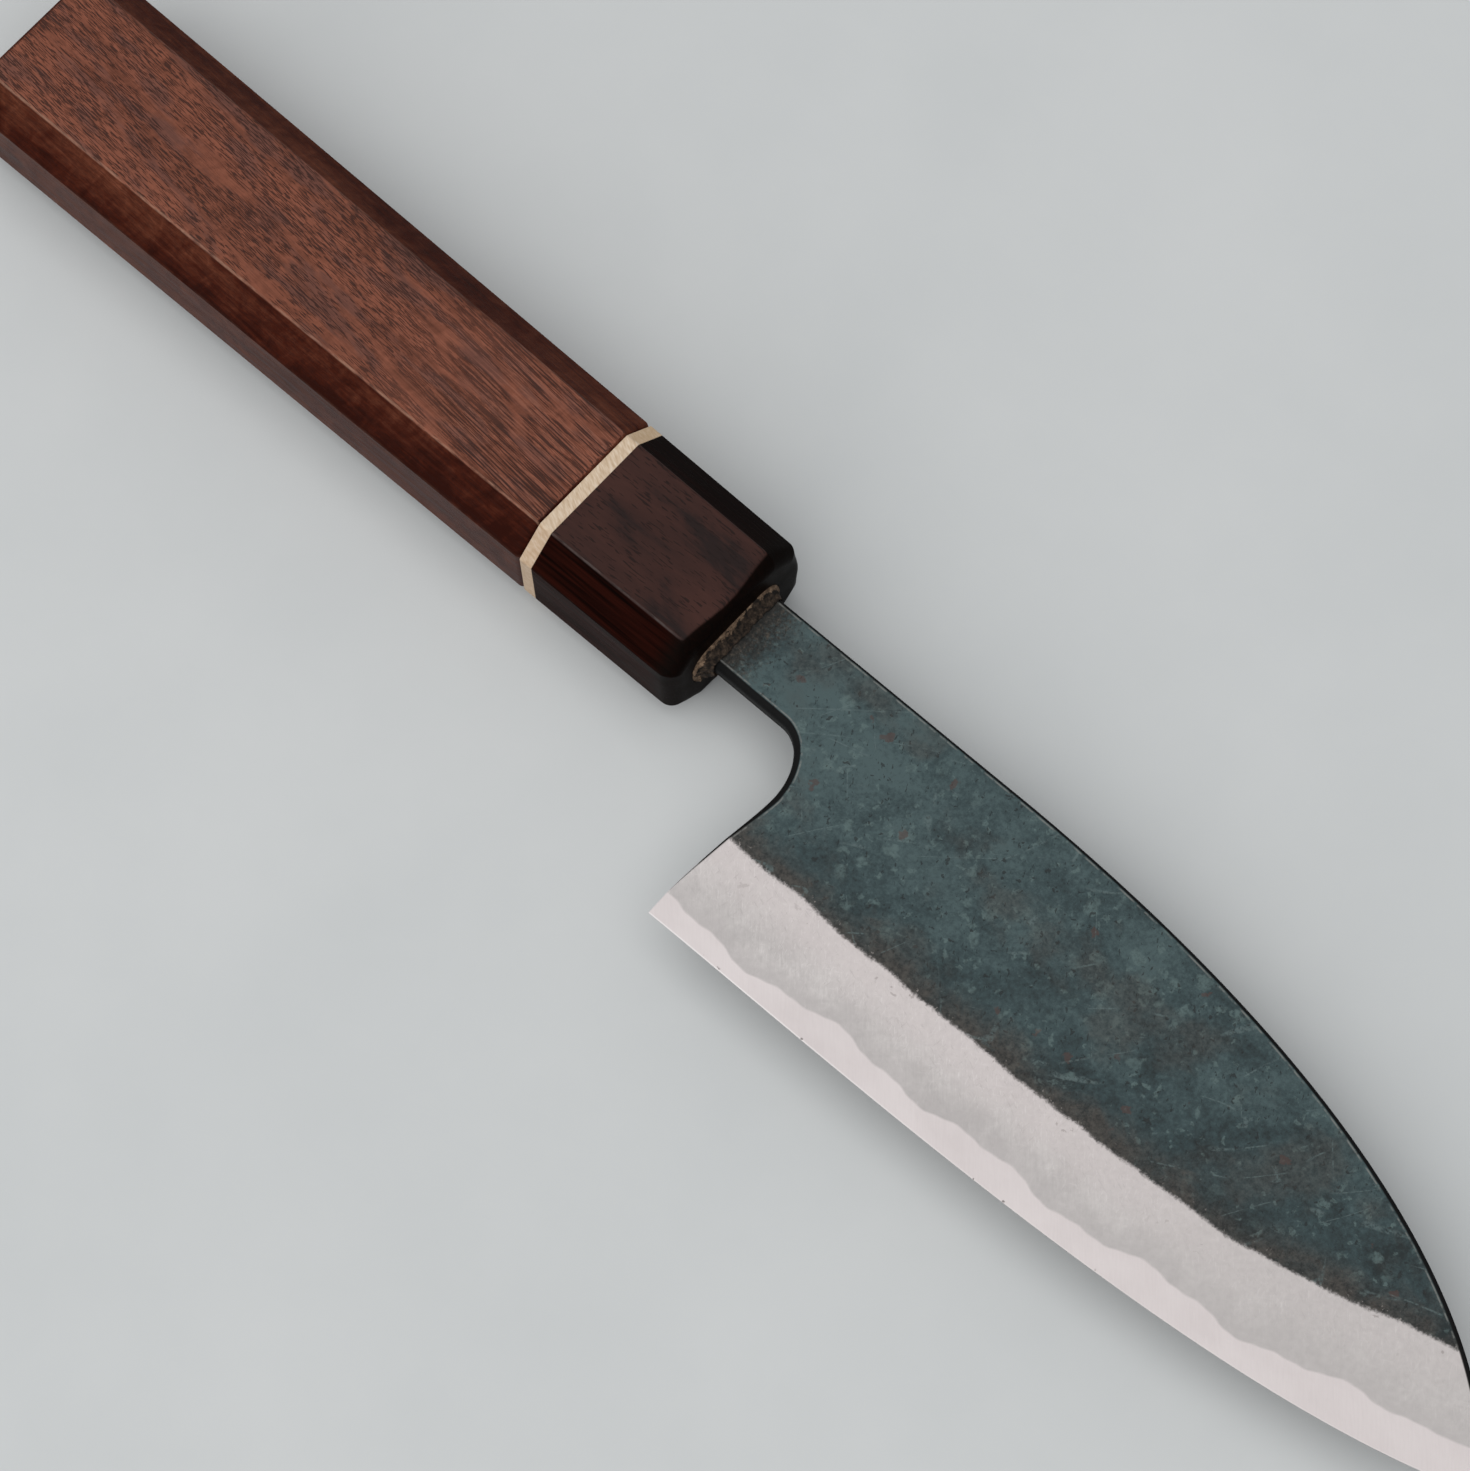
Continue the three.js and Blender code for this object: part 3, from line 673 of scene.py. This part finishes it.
# filler: a crumbly sheet carried round the mouth, from the neck out to the slot's edge
def fillerSheet():
    sizes = ("Slot Height", "Slot Width", "Slot Shift", "Slot Corner", "Neck Height", "Neck Width",
             "Neck Shift", "Neck Corner", "Depth", "Lip Corner", "Creep", "Ridge", "Lumps", "Seed")
    shape = Shape("mouth filler", sizes, ("Around", "Across"))
    given = shape.given

    def readLoop(height, width, corner, factor):  # a place on a rounded box
        box = shape.node("GeometryNodeCurvePrimitiveQuadrilateral", {"Width": height, "Height": width})
        loop = shape.node("GeometryNodeFilletCurve", {
            "Curve": box.outputs[0], "Count": 8, "Radius": corner}, mode="POLY")
        read = shape.node("GeometryNodeSampleCurve", {"Curves": loop.outputs[0], "Factor": factor},
                          mode="FACTOR", use_all_curves=True)
        return shape.split(read.outputs["Position"])[:2]

    sheet = shape.node("GeometryNodeMeshGrid", {
        "Size X": 1, "Size Y": 1, "Vertices X": given["Around"], "Vertices Y": given["Across"]})
    around, across = (shape.add(value, 0.5) for value in shape.split(shape.here)[:2])
    slotLong, slotWide = readLoop(given["Slot Height"], given["Slot Width"], given["Slot Corner"], around)
    neckLong, neckWide = readLoop(given["Neck Height"], given["Neck Width"], given["Neck Corner"], around)
    fullWidth = 10.0  # drawn wide, so that most points fall on the front and back
    lipAcross, lipBack = readLoop(fullWidth, given["Depth"], given["Lip Corner"], across)
    share = shape.timesPlus(lipAcross, 1 / fullWidth, 0.5)
    neckY = shape.add(neckLong, given["Neck Shift"])
    slotY = shape.add(slotLong, given["Slot Shift"])
    y = shape.timesPlus(shape.minus(slotY, neckY), share, neckY)
    z = shape.timesPlus(shape.minus(slotWide, neckWide), share, neckWide)
    back = shape.minus(lipBack, shape.times(given["Depth"], 0.5))
    lump = shape.node("ShaderNodeTexNoise", {
        "Vector": shape.join(given["Seed"], y, z), "Scale": 1.1, "Detail": 5, "Roughness": 0.65}).outputs[0]
    ridge = shape.times(shape.remap(share, 0.7, 0.9), shape.remap(share, 1.0, 0.95))
    creep = shape.calc("POWER", shape.most(shape.minus(1, share), 0), 1.4)
    rise = shape.times(shape.minus(lump, 0.5), given["Lumps"])
    rise = shape.timesPlus(ridge, given["Ridge"], rise)
    rise = shape.timesPlus(creep, given["Creep"], rise)
    fore = shape.remap(back, -0.9, -0.2)  # only the front of the sheet rises
    moved = shape.join(shape.timesPlus(rise, fore, back), y, z)
    noted = shape.node("GeometryNodeStoreNamedAttribute", {
        "Geometry": sheet.outputs[0], "Name": "fromNeck", "Value": share}, data_type="FLOAT", domain="POINT")
    shaped = shape.node("GeometryNodeSetPosition", {"Geometry": noted.outputs[0], "Position": moved})
    welded = shape.node("GeometryNodeMergeByDistance", {"Geometry": shaped.outputs[0], "Distance": 0.0005})
    shape.close(welded.outputs[0])
    return shape


filler = growPiece("crumbly_filler", fillerSheet(), {
    "Slot Height": 15.3, "Slot Width": 7.5, "Slot Shift": mouthMiddle, "Slot Corner": 3.1,
    "Neck Height": 12.0, "Neck Width": 3.7, "Neck Shift": 0.4, "Neck Corner": 0.6, "Depth": 4.6,
    "Lip Corner": 0.3, "Creep": 1.6, "Ridge": 0.15, "Lumps": 1.2, "Seed": 4.2, "Around": 241,
    "Across": 71, "Finish": putty})
dressPiece(filler, "mouth_filler", putty)
print("mouth filled")

# blade outline and thickness, millimetres; each wave of the weld has a height, a length and a start
blade = dict(
    tangEnd=-60.0, tangHalfHeight=2.6, neckTop=6.2, neckBottom=-5.4,
    notch=(12.15, -13.2), notchReach=(5.77, 7.8), tip=(136.3, -22.0),
    heel=((16.4, -33.6), (16.1, -25.5), (17.92, -17.5), (17.92, -13.2)),
    spine=((41.8, 6.5), (92.8, 6.5), (123.8, -5.2), (136.3, -22)),
    edge=((16.4, -33.6), (41.6, -33.0), (105.8, -34.8), (136.3, -22)),
    bevelTop=-20.5, bevelMiddle=((96.0, -20.5), (97.0, -18.6)), runout=123.2, runoutDrop=0.5,
    weldStart=-30.84, weldMiddle=((115.0, -28.2), (97.2, -26.8)), weldFade=12.0,
    weldWaves=((0.22, 46.2, 0.22), (0.6, 24.2, 0.493), (0.3, 9.1, 0.508), (0.06, 2.7, 0.533)),
    neckHalf=1.658, heelHalf=1.25, runoutHalf=0.912, tangHalf=1.1, tangGrowth=9.0,
    edgeHalf=0.04, weldHalf=0.3, weldGap=0.004,
    spineArris=0.55, notchArris=0.8, heelArris=0.45, arrisShare=0.55,
    spineBlack=(0.5, 0.75), notchBlack=1.0, heelBlackShare=0.62)
hammerMarks = dict(height=0.02, along=9, across=8, seed=2.7)  # slow unevenness of the flat
grindMarks = dict(height=0.008, along=6, across=14, seed=8.1)  # and of the bevel


def bezier(corners, number=900):
    t = np.linspace(0, 1, number)[:, None]
    a, b, c, d = (np.array(corner, float) for corner in corners)
    return (1 - t) ** 3 * a + 3 * t * (1 - t) ** 2 * b + 3 * t * t * (1 - t) * c + t**3 * d


neckStart = [(blade["tangEnd"], blade["tangHalfHeight"]), (0, blade["neckTop"])]
spineLine = np.vstack((neckStart, bezier(blade["spine"])))
edgeLine = bezier(blade["edge"])
heelLine = bezier(blade["heel"], number=300)


def heightOn(line, x):
    return np.interp(x, line[:, 0], line[:, 1])


def spineY(x):
    return heightOn(spineLine, x)


def edgeY(x):
    return heightOn(edgeLine, x)


def underY(x):
    return np.interp(x, (blade["tangEnd"], 0), (-blade["tangHalfHeight"], blade["neckBottom"]))


def heelX(y):
    return np.interp(y, heelLine[:, 1], heelLine[:, 0])


def unevenness(xy, marks):  # slow noise at many places
    spots = np.reshape(xy, (-1, 2)) / (marks["along"], marks["across"])
    values = [noise.noise(Vector((along, across, marks["seed"]))) for along, across in spots]
    return marks["height"] * np.reshape(values, np.shape(xy)[:-1])


runEnd = (blade["runout"], float(spineY(blade["runout"])) - blade["runoutDrop"])
heelCorner = (float(heelX(blade["bevelTop"])), blade["bevelTop"])
bevelLine = bezier((heelCorner, *blade["bevelMiddle"], runEnd))
pastRun = [(runEnd[0] + 2.5, runEnd[1] + 3), (blade["tip"][0] + 6, 0)]  # carries the line on past the tip
depthLine = np.vstack((bevelLine, pastRun))
gapAtRun = float(spineY(runEnd[0]) - edgeY(runEnd[0]))
# the flat is a plane through the neck, the heel and the end of the grinding line
planeCorners = np.array(((0, blade["neckTop"], 1), (*heelCorner, 1), (*runEnd, 1)), float)
flatPlane = np.linalg.solve(planeCorners, (blade["neckHalf"], blade["heelHalf"], blade["runoutHalf"]))


def tipHalf(x):
    share = (spineY(x) - edgeY(x)) / gapAtRun
    return blade["edgeHalf"] + (blade["runoutHalf"] - blade["edgeHalf"]) * share


weldTop = blade["weldHalf"] + blade["weldGap"]
tipSteps = np.linspace(runEnd[0], blade["tip"][0] - 0.01, 800)
weldEndX = float(np.interp(-weldTop, -tipHalf(tipSteps), tipSteps))
weldEnd = (weldEndX, float(spineY(weldEndX)))
weldCorner = (float(heelX(blade["weldStart"])), blade["weldStart"])
weldBase = bezier((weldCorner, *blade["weldMiddle"], weldEnd))


def weldY(x):
    fade = np.clip((weldEndX - x) / blade["weldFade"], 0, 1)
    waves = sum(size * np.sin(2 * np.pi * (x / length + start)) for size, length, start in blade["weldWaves"])
    return heightOn(weldBase, x) + waves * fade


def flatHalf(xy):
    plane = flatPlane[0] * xy[..., 0] + flatPlane[1] * xy[..., 1] + flatPlane[2]
    tang = np.interp(xy[..., 0], (blade["tangEnd"], 0), (blade["tangHalf"], blade["tangGrowth"]))
    return np.minimum(plane + unevenness(xy, hammerMarks), tang)


def bevelDepthAt(xy):
    return heightOn(depthLine, xy[..., 0]) - xy[..., 1]


def inwardOf(line):
    run = np.gradient(line, axis=0)
    run /= np.linalg.norm(run, axis=1)[:, None]
    return np.column_stack((run[:, 1], -run[:, 0]))


def between(first, second, share):
    return first[:, None, :] * (1 - share)[None, :, None] + second[:, None, :] * share[None, :, None]


# columns of points: neck underside, notch, heel, grinding line, tip
columns = dict(tang=18, neck=36, notch=26, heel=22, bevel=230, tip=46, point=24, wall=12)
rowCounts = dict(flat=40, bevel=24, core=12, round=5)
# where the neck's columns start, where the fan from the notch ends on the spine, how far columns lean back,
# and how much rows crowd toward the rims, the weld and the edge
layout = dict(neckStart=-3, fanEnd=25.8, leanReach=30, rimCrowding=0.65, weldPower=1.5, edgePower=0.6)


def leanBack(x, start):  # moves the first column back to start, and the next ones less and less
    fade = np.clip(1 - (x - x[0]) / layout["leanReach"], 0, 1)
    return x - fade * (x[0] - start)


underX = np.concatenate((
    np.linspace(blade["tangEnd"], layout["neckStart"], columns["tang"], endpoint=False),
    np.linspace(layout["neckStart"], blade["notch"][0], columns["neck"], endpoint=False)))
swing = np.linspace(0, math.pi / 2, columns["notch"], endpoint=False)
notchTurn = np.column_stack((np.sin(swing), np.cos(swing)))
heelDown = np.linspace(blade["notch"][1], blade["bevelTop"], columns["heel"])
lowOutline = np.vstack((
    np.column_stack((underX, underY(underX))),
    blade["notch"] + notchTurn * blade["notchReach"],
    np.column_stack((heelX(heelDown), heelDown))))
notchInward = notchTurn / blade["notchReach"]
notchInward /= np.linalg.norm(notchInward, axis=1)[:, None]
lowInward = np.vstack((
    np.tile((0.0, 1.0), (len(underX), 1)),
    notchInward,
    np.tile((1.0, 0.0), (len(heelDown), 1))))
lowRadius = np.concatenate((
    np.full(len(underX) + len(swing), blade["notchArris"]),
    np.linspace(blade["notchArris"], blade["heelArris"], len(heelDown))))
lowFace = lowOutline + lowInward * lowRadius[:, None]

bevelX = np.linspace(lowFace[-1, 0], runEnd[0], columns["bevel"])
bevelFace = np.column_stack((bevelX, heightOn(bevelLine, bevelX)))
fan = np.linspace(blade["notch"][0], layout["fanEnd"], len(swing) + len(heelDown) + 1)[1:]
lead = np.linspace(1, 0, columns["bevel"]) ** 2
flatTopX = np.concatenate((underX, fan, (bevelX + (fan[-1] - bevelX[0]) * lead)[1:]))
tipX = np.linspace(runEnd[0], weldEndX, columns["tip"] + 1)[1:]
topX = np.concatenate((flatTopX, tipX))
topOutline = np.column_stack((topX, spineY(topX)))
topInward = inwardOf(topOutline)
nFlat = len(flatTopX)
nLow = len(lowOutline)
topHalf = np.concatenate((flatHalf(topOutline[:nFlat]), tipHalf(tipX)))
topHalf[-1] = weldTop
topRadius = np.minimum(blade["spineArris"], blade["arrisShare"] * (topHalf - weldTop))
topFace = topOutline + topInward * topRadius[:, None]
bevelFace[-1] = topFace[nFlat - 1]  # the grinding line runs out on the spine's arris
topHalf[nFlat - 1] = blade["runoutHalf"]

# rows from the lower line to the spine, closer together near both
rowShare = np.linspace(0, 1, rowCounts["flat"] + 1)
rowSwing = 0.5 - 0.5 * np.cos(np.pi * rowShare)
rowShare = (1 - layout["rimCrowding"]) * rowShare + layout["rimCrowding"] * rowSwing
flatXy = between(np.vstack((lowFace, bevelFace[1:])), topFace[:nFlat], rowShare)
flatZ = flatHalf(flatXy)
flatZ[-1, :] = blade["runoutHalf"]

# rows from the grinding line down to the weld
downShare = np.linspace(0, 1, rowCounts["bevel"] + 1) ** layout["weldPower"]
nBevel = len(bevelFace)
highLine = np.vstack((bevelFace, topFace[nFlat:]))
highZ = np.concatenate((flatZ[nLow - 1:, 0], topHalf[nFlat:]))
weldX = leanBack(highLine[:, 0], float(heelX(weldY(highLine[0, 0]))))
weldX[nBevel:] = np.linspace(weldX[nBevel - 1], weldEndX, columns["tip"] + 1)[1:]
weldLine = np.column_stack((weldX, weldY(weldX)))
weldLine[0, 0] = heelX(weldLine[0, 1])
weldLine[-1] = weldEnd
bevelXy = between(highLine, weldLine, downShare)
bevelZ = np.outer(highZ, 1 - downShare) + weldTop * downShare
bevelZ += unevenness(bevelXy, grindMarks) * np.sin(np.pi * downShare)
bevelZ[-1, :] = weldTop
lowerXy = bevelXy[:, 1:]

# black rim, of scale and painted shade on the walls and rounded arrises: its path round the blade and its
# width there
heelY = lowerXy[0, :, 1]
heelOutline = np.column_stack((heelX(heelY), heelY))
heelRadius = np.maximum(lowerXy[0, :, 0] - heelOutline[:, 0], 0)
lowRim = np.vstack((lowOutline, heelOutline))
lowRimInward = np.vstack((lowInward, np.tile((1.0, 0.0), (len(heelY), 1))))
lowRimRadius = np.concatenate((lowRadius, heelRadius))
lowBlack = np.concatenate((
    np.full(len(underX) + len(swing), blade["notchBlack"]),
    np.linspace(blade["notchBlack"], blade["heelArris"], len(heelDown)),
    heelRadius))
topBlack = np.interp(topX, (0, blade["runout"]), blade["spineBlack"])
rimPath = np.vstack((lowRim, topOutline))
rimBlack = np.concatenate((lowBlack, topBlack))
rimFull = 0.5  # value of the rim attribute where the black rim ends
wallRims = (0.7, -0.5)  # its values on a bare and on a black end wall
farAway = 9.0  # value of a distance attribute where its line is out of reach
leastGround, tipGround = 0.02, 2.0  # bevel depths that count as ground, below the line and past its end


def heelBlack(y):  # black on the heel's end wall, gone well above the weld
    gone = blade["bevelTop"] + blade["heelBlackShare"] * (blade["weldStart"] - blade["bevelTop"])
    return np.interp(y, (gone, blade["bevelTop"]), (0, 1))


def rimValue(xy):
    values = []
    for spot in np.reshape(xy, (-1, 2)):
        distance = np.hypot(rimPath[:, 0] - spot[0], rimPath[:, 1] - spot[1])
        values.append(rimFull + (distance - rimBlack).min())
    return np.array(values)


# the points of one mesh, with the values that its finish reads
class Points:
    def __init__(self):
        self.spots = []
        self.values = {}

    def add(self, xy, z, **values):
        first = len(self.spots)
        xy = np.reshape(xy, (-1, 2))
        number = len(xy)
        z = np.broadcast_to(np.ravel(z), number)
        self.spots.extend(np.column_stack((xy, z)).tolist())
        for name, value in values.items():
            self.values.setdefault(name, []).extend(np.broadcast_to(np.ravel(value), number).tolist())
        return np.arange(first, first + number)


def quads(ids):
    return [(ids[i, j], ids[i + 1, j], ids[i + 1, j + 1], ids[i, j + 1])
            for i in range(ids.shape[0] - 1) for j in range(ids.shape[1] - 1)]


def solidPiece(name, points, faces, flip=False):
    merge = dict(points=0.0004, slivers=0.0002, sharpAngle=40)
    mesh = bpy.data.meshes.new(name)
    spots = [(x, y, -z) for x, y, z in points.spots] if flip else points.spots
    mesh.from_pydata(spots, [], [[int(k) for k in face] for face in faces])
    for label, numbers in points.values.items():
        mesh.attributes.new(label, "FLOAT", "POINT").data.foreach_set("value", numbers)
    shape = bmesh.new()
    shape.from_mesh(mesh)
    bmesh.ops.remove_doubles(shape, verts=shape.verts, dist=merge["points"])
    bmesh.ops.dissolve_degenerate(shape, edges=shape.edges, dist=merge["slivers"])
    bmesh.ops.recalc_face_normals(shape, faces=shape.faces)
    loose = [edge for edge in shape.edges if len(edge.link_faces) != 2]
    print(name, len(shape.verts), "points,", len(loose), "open edges")
    shape.to_mesh(mesh)
    shape.free()
    mesh.transform(toRow)
    mesh.shade_smooth()
    mesh.set_sharp_from_angle(angle=math.radians(merge["sharpAngle"]))
    return makeObject(name, mesh)


flatRim = rimValue(flatXy)
lowerRim = rimValue(lowerXy)


def claddingPiece(name, flip):
    points = Points()
    flatIds = points.add(flatXy, flatZ, rim=flatRim, bevelDepth=bevelDepthAt(flatXy), toWeld=farAway)
    flatIds = flatIds.reshape(flatZ.shape)
    lowerDepth = np.maximum(bevelDepthAt(lowerXy), leastGround)
    toWeld = np.linalg.norm(bevelXy - bevelXy[:, -1:], axis=2)
    lowerIds = points.add(lowerXy, bevelZ[:, 1:], rim=lowerRim, bevelDepth=lowerDepth, toWeld=toWeld[:, 1:])
    tipLine = highLine[nBevel:]
    tipIds = points.add(tipLine, highZ[nBevel:], rim=rimValue(tipLine), bevelDepth=tipGround,
                        toWeld=toWeld[nBevel:, 0])
    highIds = np.concatenate((flatIds[nLow - 1:, 0], tipIds))
    bevelIds = np.column_stack((highIds, lowerIds.reshape(lowerXy.shape[:2])))
    faces = quads(flatIds) + quads(bevelIds)

    # wall and rounded arris, from the weld plane up to the face
    def rimStrip(outline, inward, radius, black, wall, height, faceIds):
        depth = bevelDepthAt(outline)
        wallRim = np.interp(wall, (0, 1), wallRims)
        rows = [points.add(outline, weldTop, rim=wallRim, bevelDepth=depth, toWeld=farAway)]
        for k in range(rowCounts["round"]):
            angle = math.pi / 2 * k / rowCounts["round"]
            share = 1 - math.cos(angle)
            spots = outline + inward * (radius * share)[:, None]
            lift = height - radius + radius * math.sin(angle)
            rim = np.maximum(rimFull + radius * share - black, wallRim)
            rows.append(points.add(spots, lift, rim=rim, bevelDepth=depth, toWeld=farAway))
        return np.column_stack(rows + [faceIds])

    lowWall = np.append(np.ones(nLow), heelBlack(heelY))
    low = rimStrip(lowRim, lowRimInward, lowRimRadius, lowBlack, lowWall,
                   np.concatenate((flatZ[:nLow, 0], bevelZ[0, 1:])),
                   np.concatenate((flatIds[:nLow, 0], bevelIds[0, 1:])))
    top = rimStrip(topOutline, topInward, topRadius, topBlack, np.ones(len(topOutline)),
                   np.concatenate((flatZ[:, -1], topHalf[nFlat:])),
                   np.concatenate((flatIds[:, -1], tipIds)))
    faces += quads(low) + quads(top)
    faces.append(list(low[0]) + list(flatIds[0, 1:]) + list(top[0][::-1][1:]))  # the tang's end
    faces.append(list(low[:-1, 0]) + list(bevelIds[:, -1]) + list(top[:-1, 0][::-1]))  # the weld plane
    return solidPiece(name, points, faces, flip)


def corePiece(name):
    points = Points()
    nWeld = len(weldLine)
    pointX = np.linspace(weldEndX, blade["tip"][0], columns["point"] + 1)[1:]
    bandTop = np.vstack((weldLine, np.column_stack((pointX, spineY(pointX)))))
    bandTop[-1] = blade["tip"]
    bandTopZ = np.append(np.full(nWeld, blade["weldHalf"]), np.minimum(tipHalf(pointX), blade["weldHalf"]))
    bandTopZ[-1] = blade["edgeHalf"]
    edgeX = leanBack(bandTop[:, 0], blade["heel"][0][0])
    bandEdge = np.column_stack((edgeX, edgeY(edgeX)))
    bandEdge[-1] = blade["tip"]
    share = np.linspace(0, 1, rowCounts["core"] + 1) ** layout["edgePower"]
    share = np.insert(share, 1, 0.03)  # one more row close to the weld
    bandXy = between(bandTop, bandEdge, share)
    bandZ = np.outer(bandTopZ, 1 - share) + blade["edgeHalf"] * share
    fromEdge = np.linalg.norm(bandXy - bandXy[:, -1:], axis=2)
    fromWeld = np.linalg.norm(bandXy - bandXy[:, :1], axis=2)
    fromWeld[nWeld:] += 1  # no weld line before the tip
    bandBlack = np.zeros(bandZ.shape)
    bandBlack[nWeld - 1:, 0] = np.linspace(1, 0, columns["point"] + 1)  # the black spine fades out at the tip
    wallY = np.linspace(blade["bevelTop"], weldLine[0, 1], columns["wall"])[1:-1]
    lowPath = np.vstack((lowOutline, np.column_stack((heelX(wallY), wallY))))
    lowPathBlack = np.append(np.ones(nLow), heelBlack(wallY))
    sides = []
    faces = []
    for side in (1, -1):
        band = points.add(bandXy, side * bandZ, forgeBlack=bandBlack, fromEdge=fromEdge, fromWeld=fromWeld)
        band = band.reshape(bandZ.shape)
        low, top = (points.add(path, side * blade["weldHalf"], forgeBlack=black, fromEdge=farAway,
                               fromWeld=farAway)
                    for path, black in ((lowPath, lowPathBlack), (topOutline[:-1], 1.0)))
        sides.append((band, low, top))
        faces += quads(band)
        faces.append(list(low) + list(band[:nWeld, 0]) + list(top[::-1]))
    (band, low, top), (farBand, farLow, farTop) = sides
    for near, far in ((low, farLow), (top, farTop), (band[:, -1], farBand[:, -1]), (band[0], farBand[0]),
                      (band[nWeld - 1:, 0], farBand[nWeld - 1:, 0])):
        faces += quads(np.column_stack((near, far)))
    faces.append((low[0], farLow[0], farTop[0], top[0]))
    faces.append((low[-1], farLow[-1], farBand[0, 0], band[0, 0]))
    faces.append((top[-1], farTop[-1], farBand[nWeld - 1, 0], band[nWeld - 1, 0]))
    return solidPiece(name, points, faces)


dressPiece(claddingPiece("forged_side_right", False), "cladding_right", forgedIron)
dressPiece(claddingPiece("forged_side_left", True), "cladding_left", forgedIron)
dressPiece(corePiece("steel_core"), "core_steel", steel)
print("blade laid up")

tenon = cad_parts["handle_tenon"]
tenon.data.materials.clear()
tenon.data.materials.append(beechFinish())

# floor, light and camera
floorReach, floorDrop = 4.0, 0.0002
floorMesh = bpy.data.meshes.new("floor")
floorCorners = [(x * floorReach, y * floorReach, 0) for x, y in ((-1, -1), (1, -1), (1, 1), (-1, 1))]
floorMesh.from_pydata(floorCorners, [], [(0, 1, 2, 3)])
floorMesh.materials.append(floorFinish())
floor = makeObject("floor", floorMesh)
floor.location.z = -floorDrop

softbox = dict(size=3.2, height=1.2, aside=(-0.1, -0.6), watts=35.5)
lampData = bpy.data.lights.new("softbox", "AREA")
lampData.shape = "SQUARE"
lampData.size = softbox["size"]
lampData.energy = softbox["watts"]
lamp = makeObject("softbox", lampData)
lamp.location = (*softbox["aside"], softbox["height"])
lamp.rotation_mode = "QUATERNION"
lamp.rotation_quaternion = (-Vector(lamp.location)).to_track_quat("-Z", "Y")

roomLight = dict(colour=(0.93, 0.96, 1, 1), strength=0.35)
room = bpy.data.worlds.new("room")
room.use_nodes = True
background = room.node_tree.nodes["Background"]
background.inputs["Color"].default_value = roomLight["colour"]
background.inputs["Strength"].default_value = roomLight["strength"]
scene.world = room

eye = dict(place=(232.404, -216.160, 783.343), right=(0.7385, 0.67342, -0.03354),
           up=(-0.61956, 0.69738, 0.3603), lens=171.3, sensor=36.0)
cameraData = bpy.data.cameras.new("photo eye")
cameraData.sensor_width = eye["sensor"]
cameraData.lens = eye["lens"]
camera = makeObject("photo_eye", cameraData)
right = Vector(eye["right"]).normalized()
up = Vector(eye["up"])
up = (up - right * up.dot(right)).normalized()
turn = Matrix((right, up, right.cross(up))).transposed().to_4x4()
camera.matrix_world = Matrix.Translation(knifeZero + Vector(eye["place"]) * mm) @ turn
scene.camera = camera
scene.view_settings.view_transform = "Standard"
print("stage set")
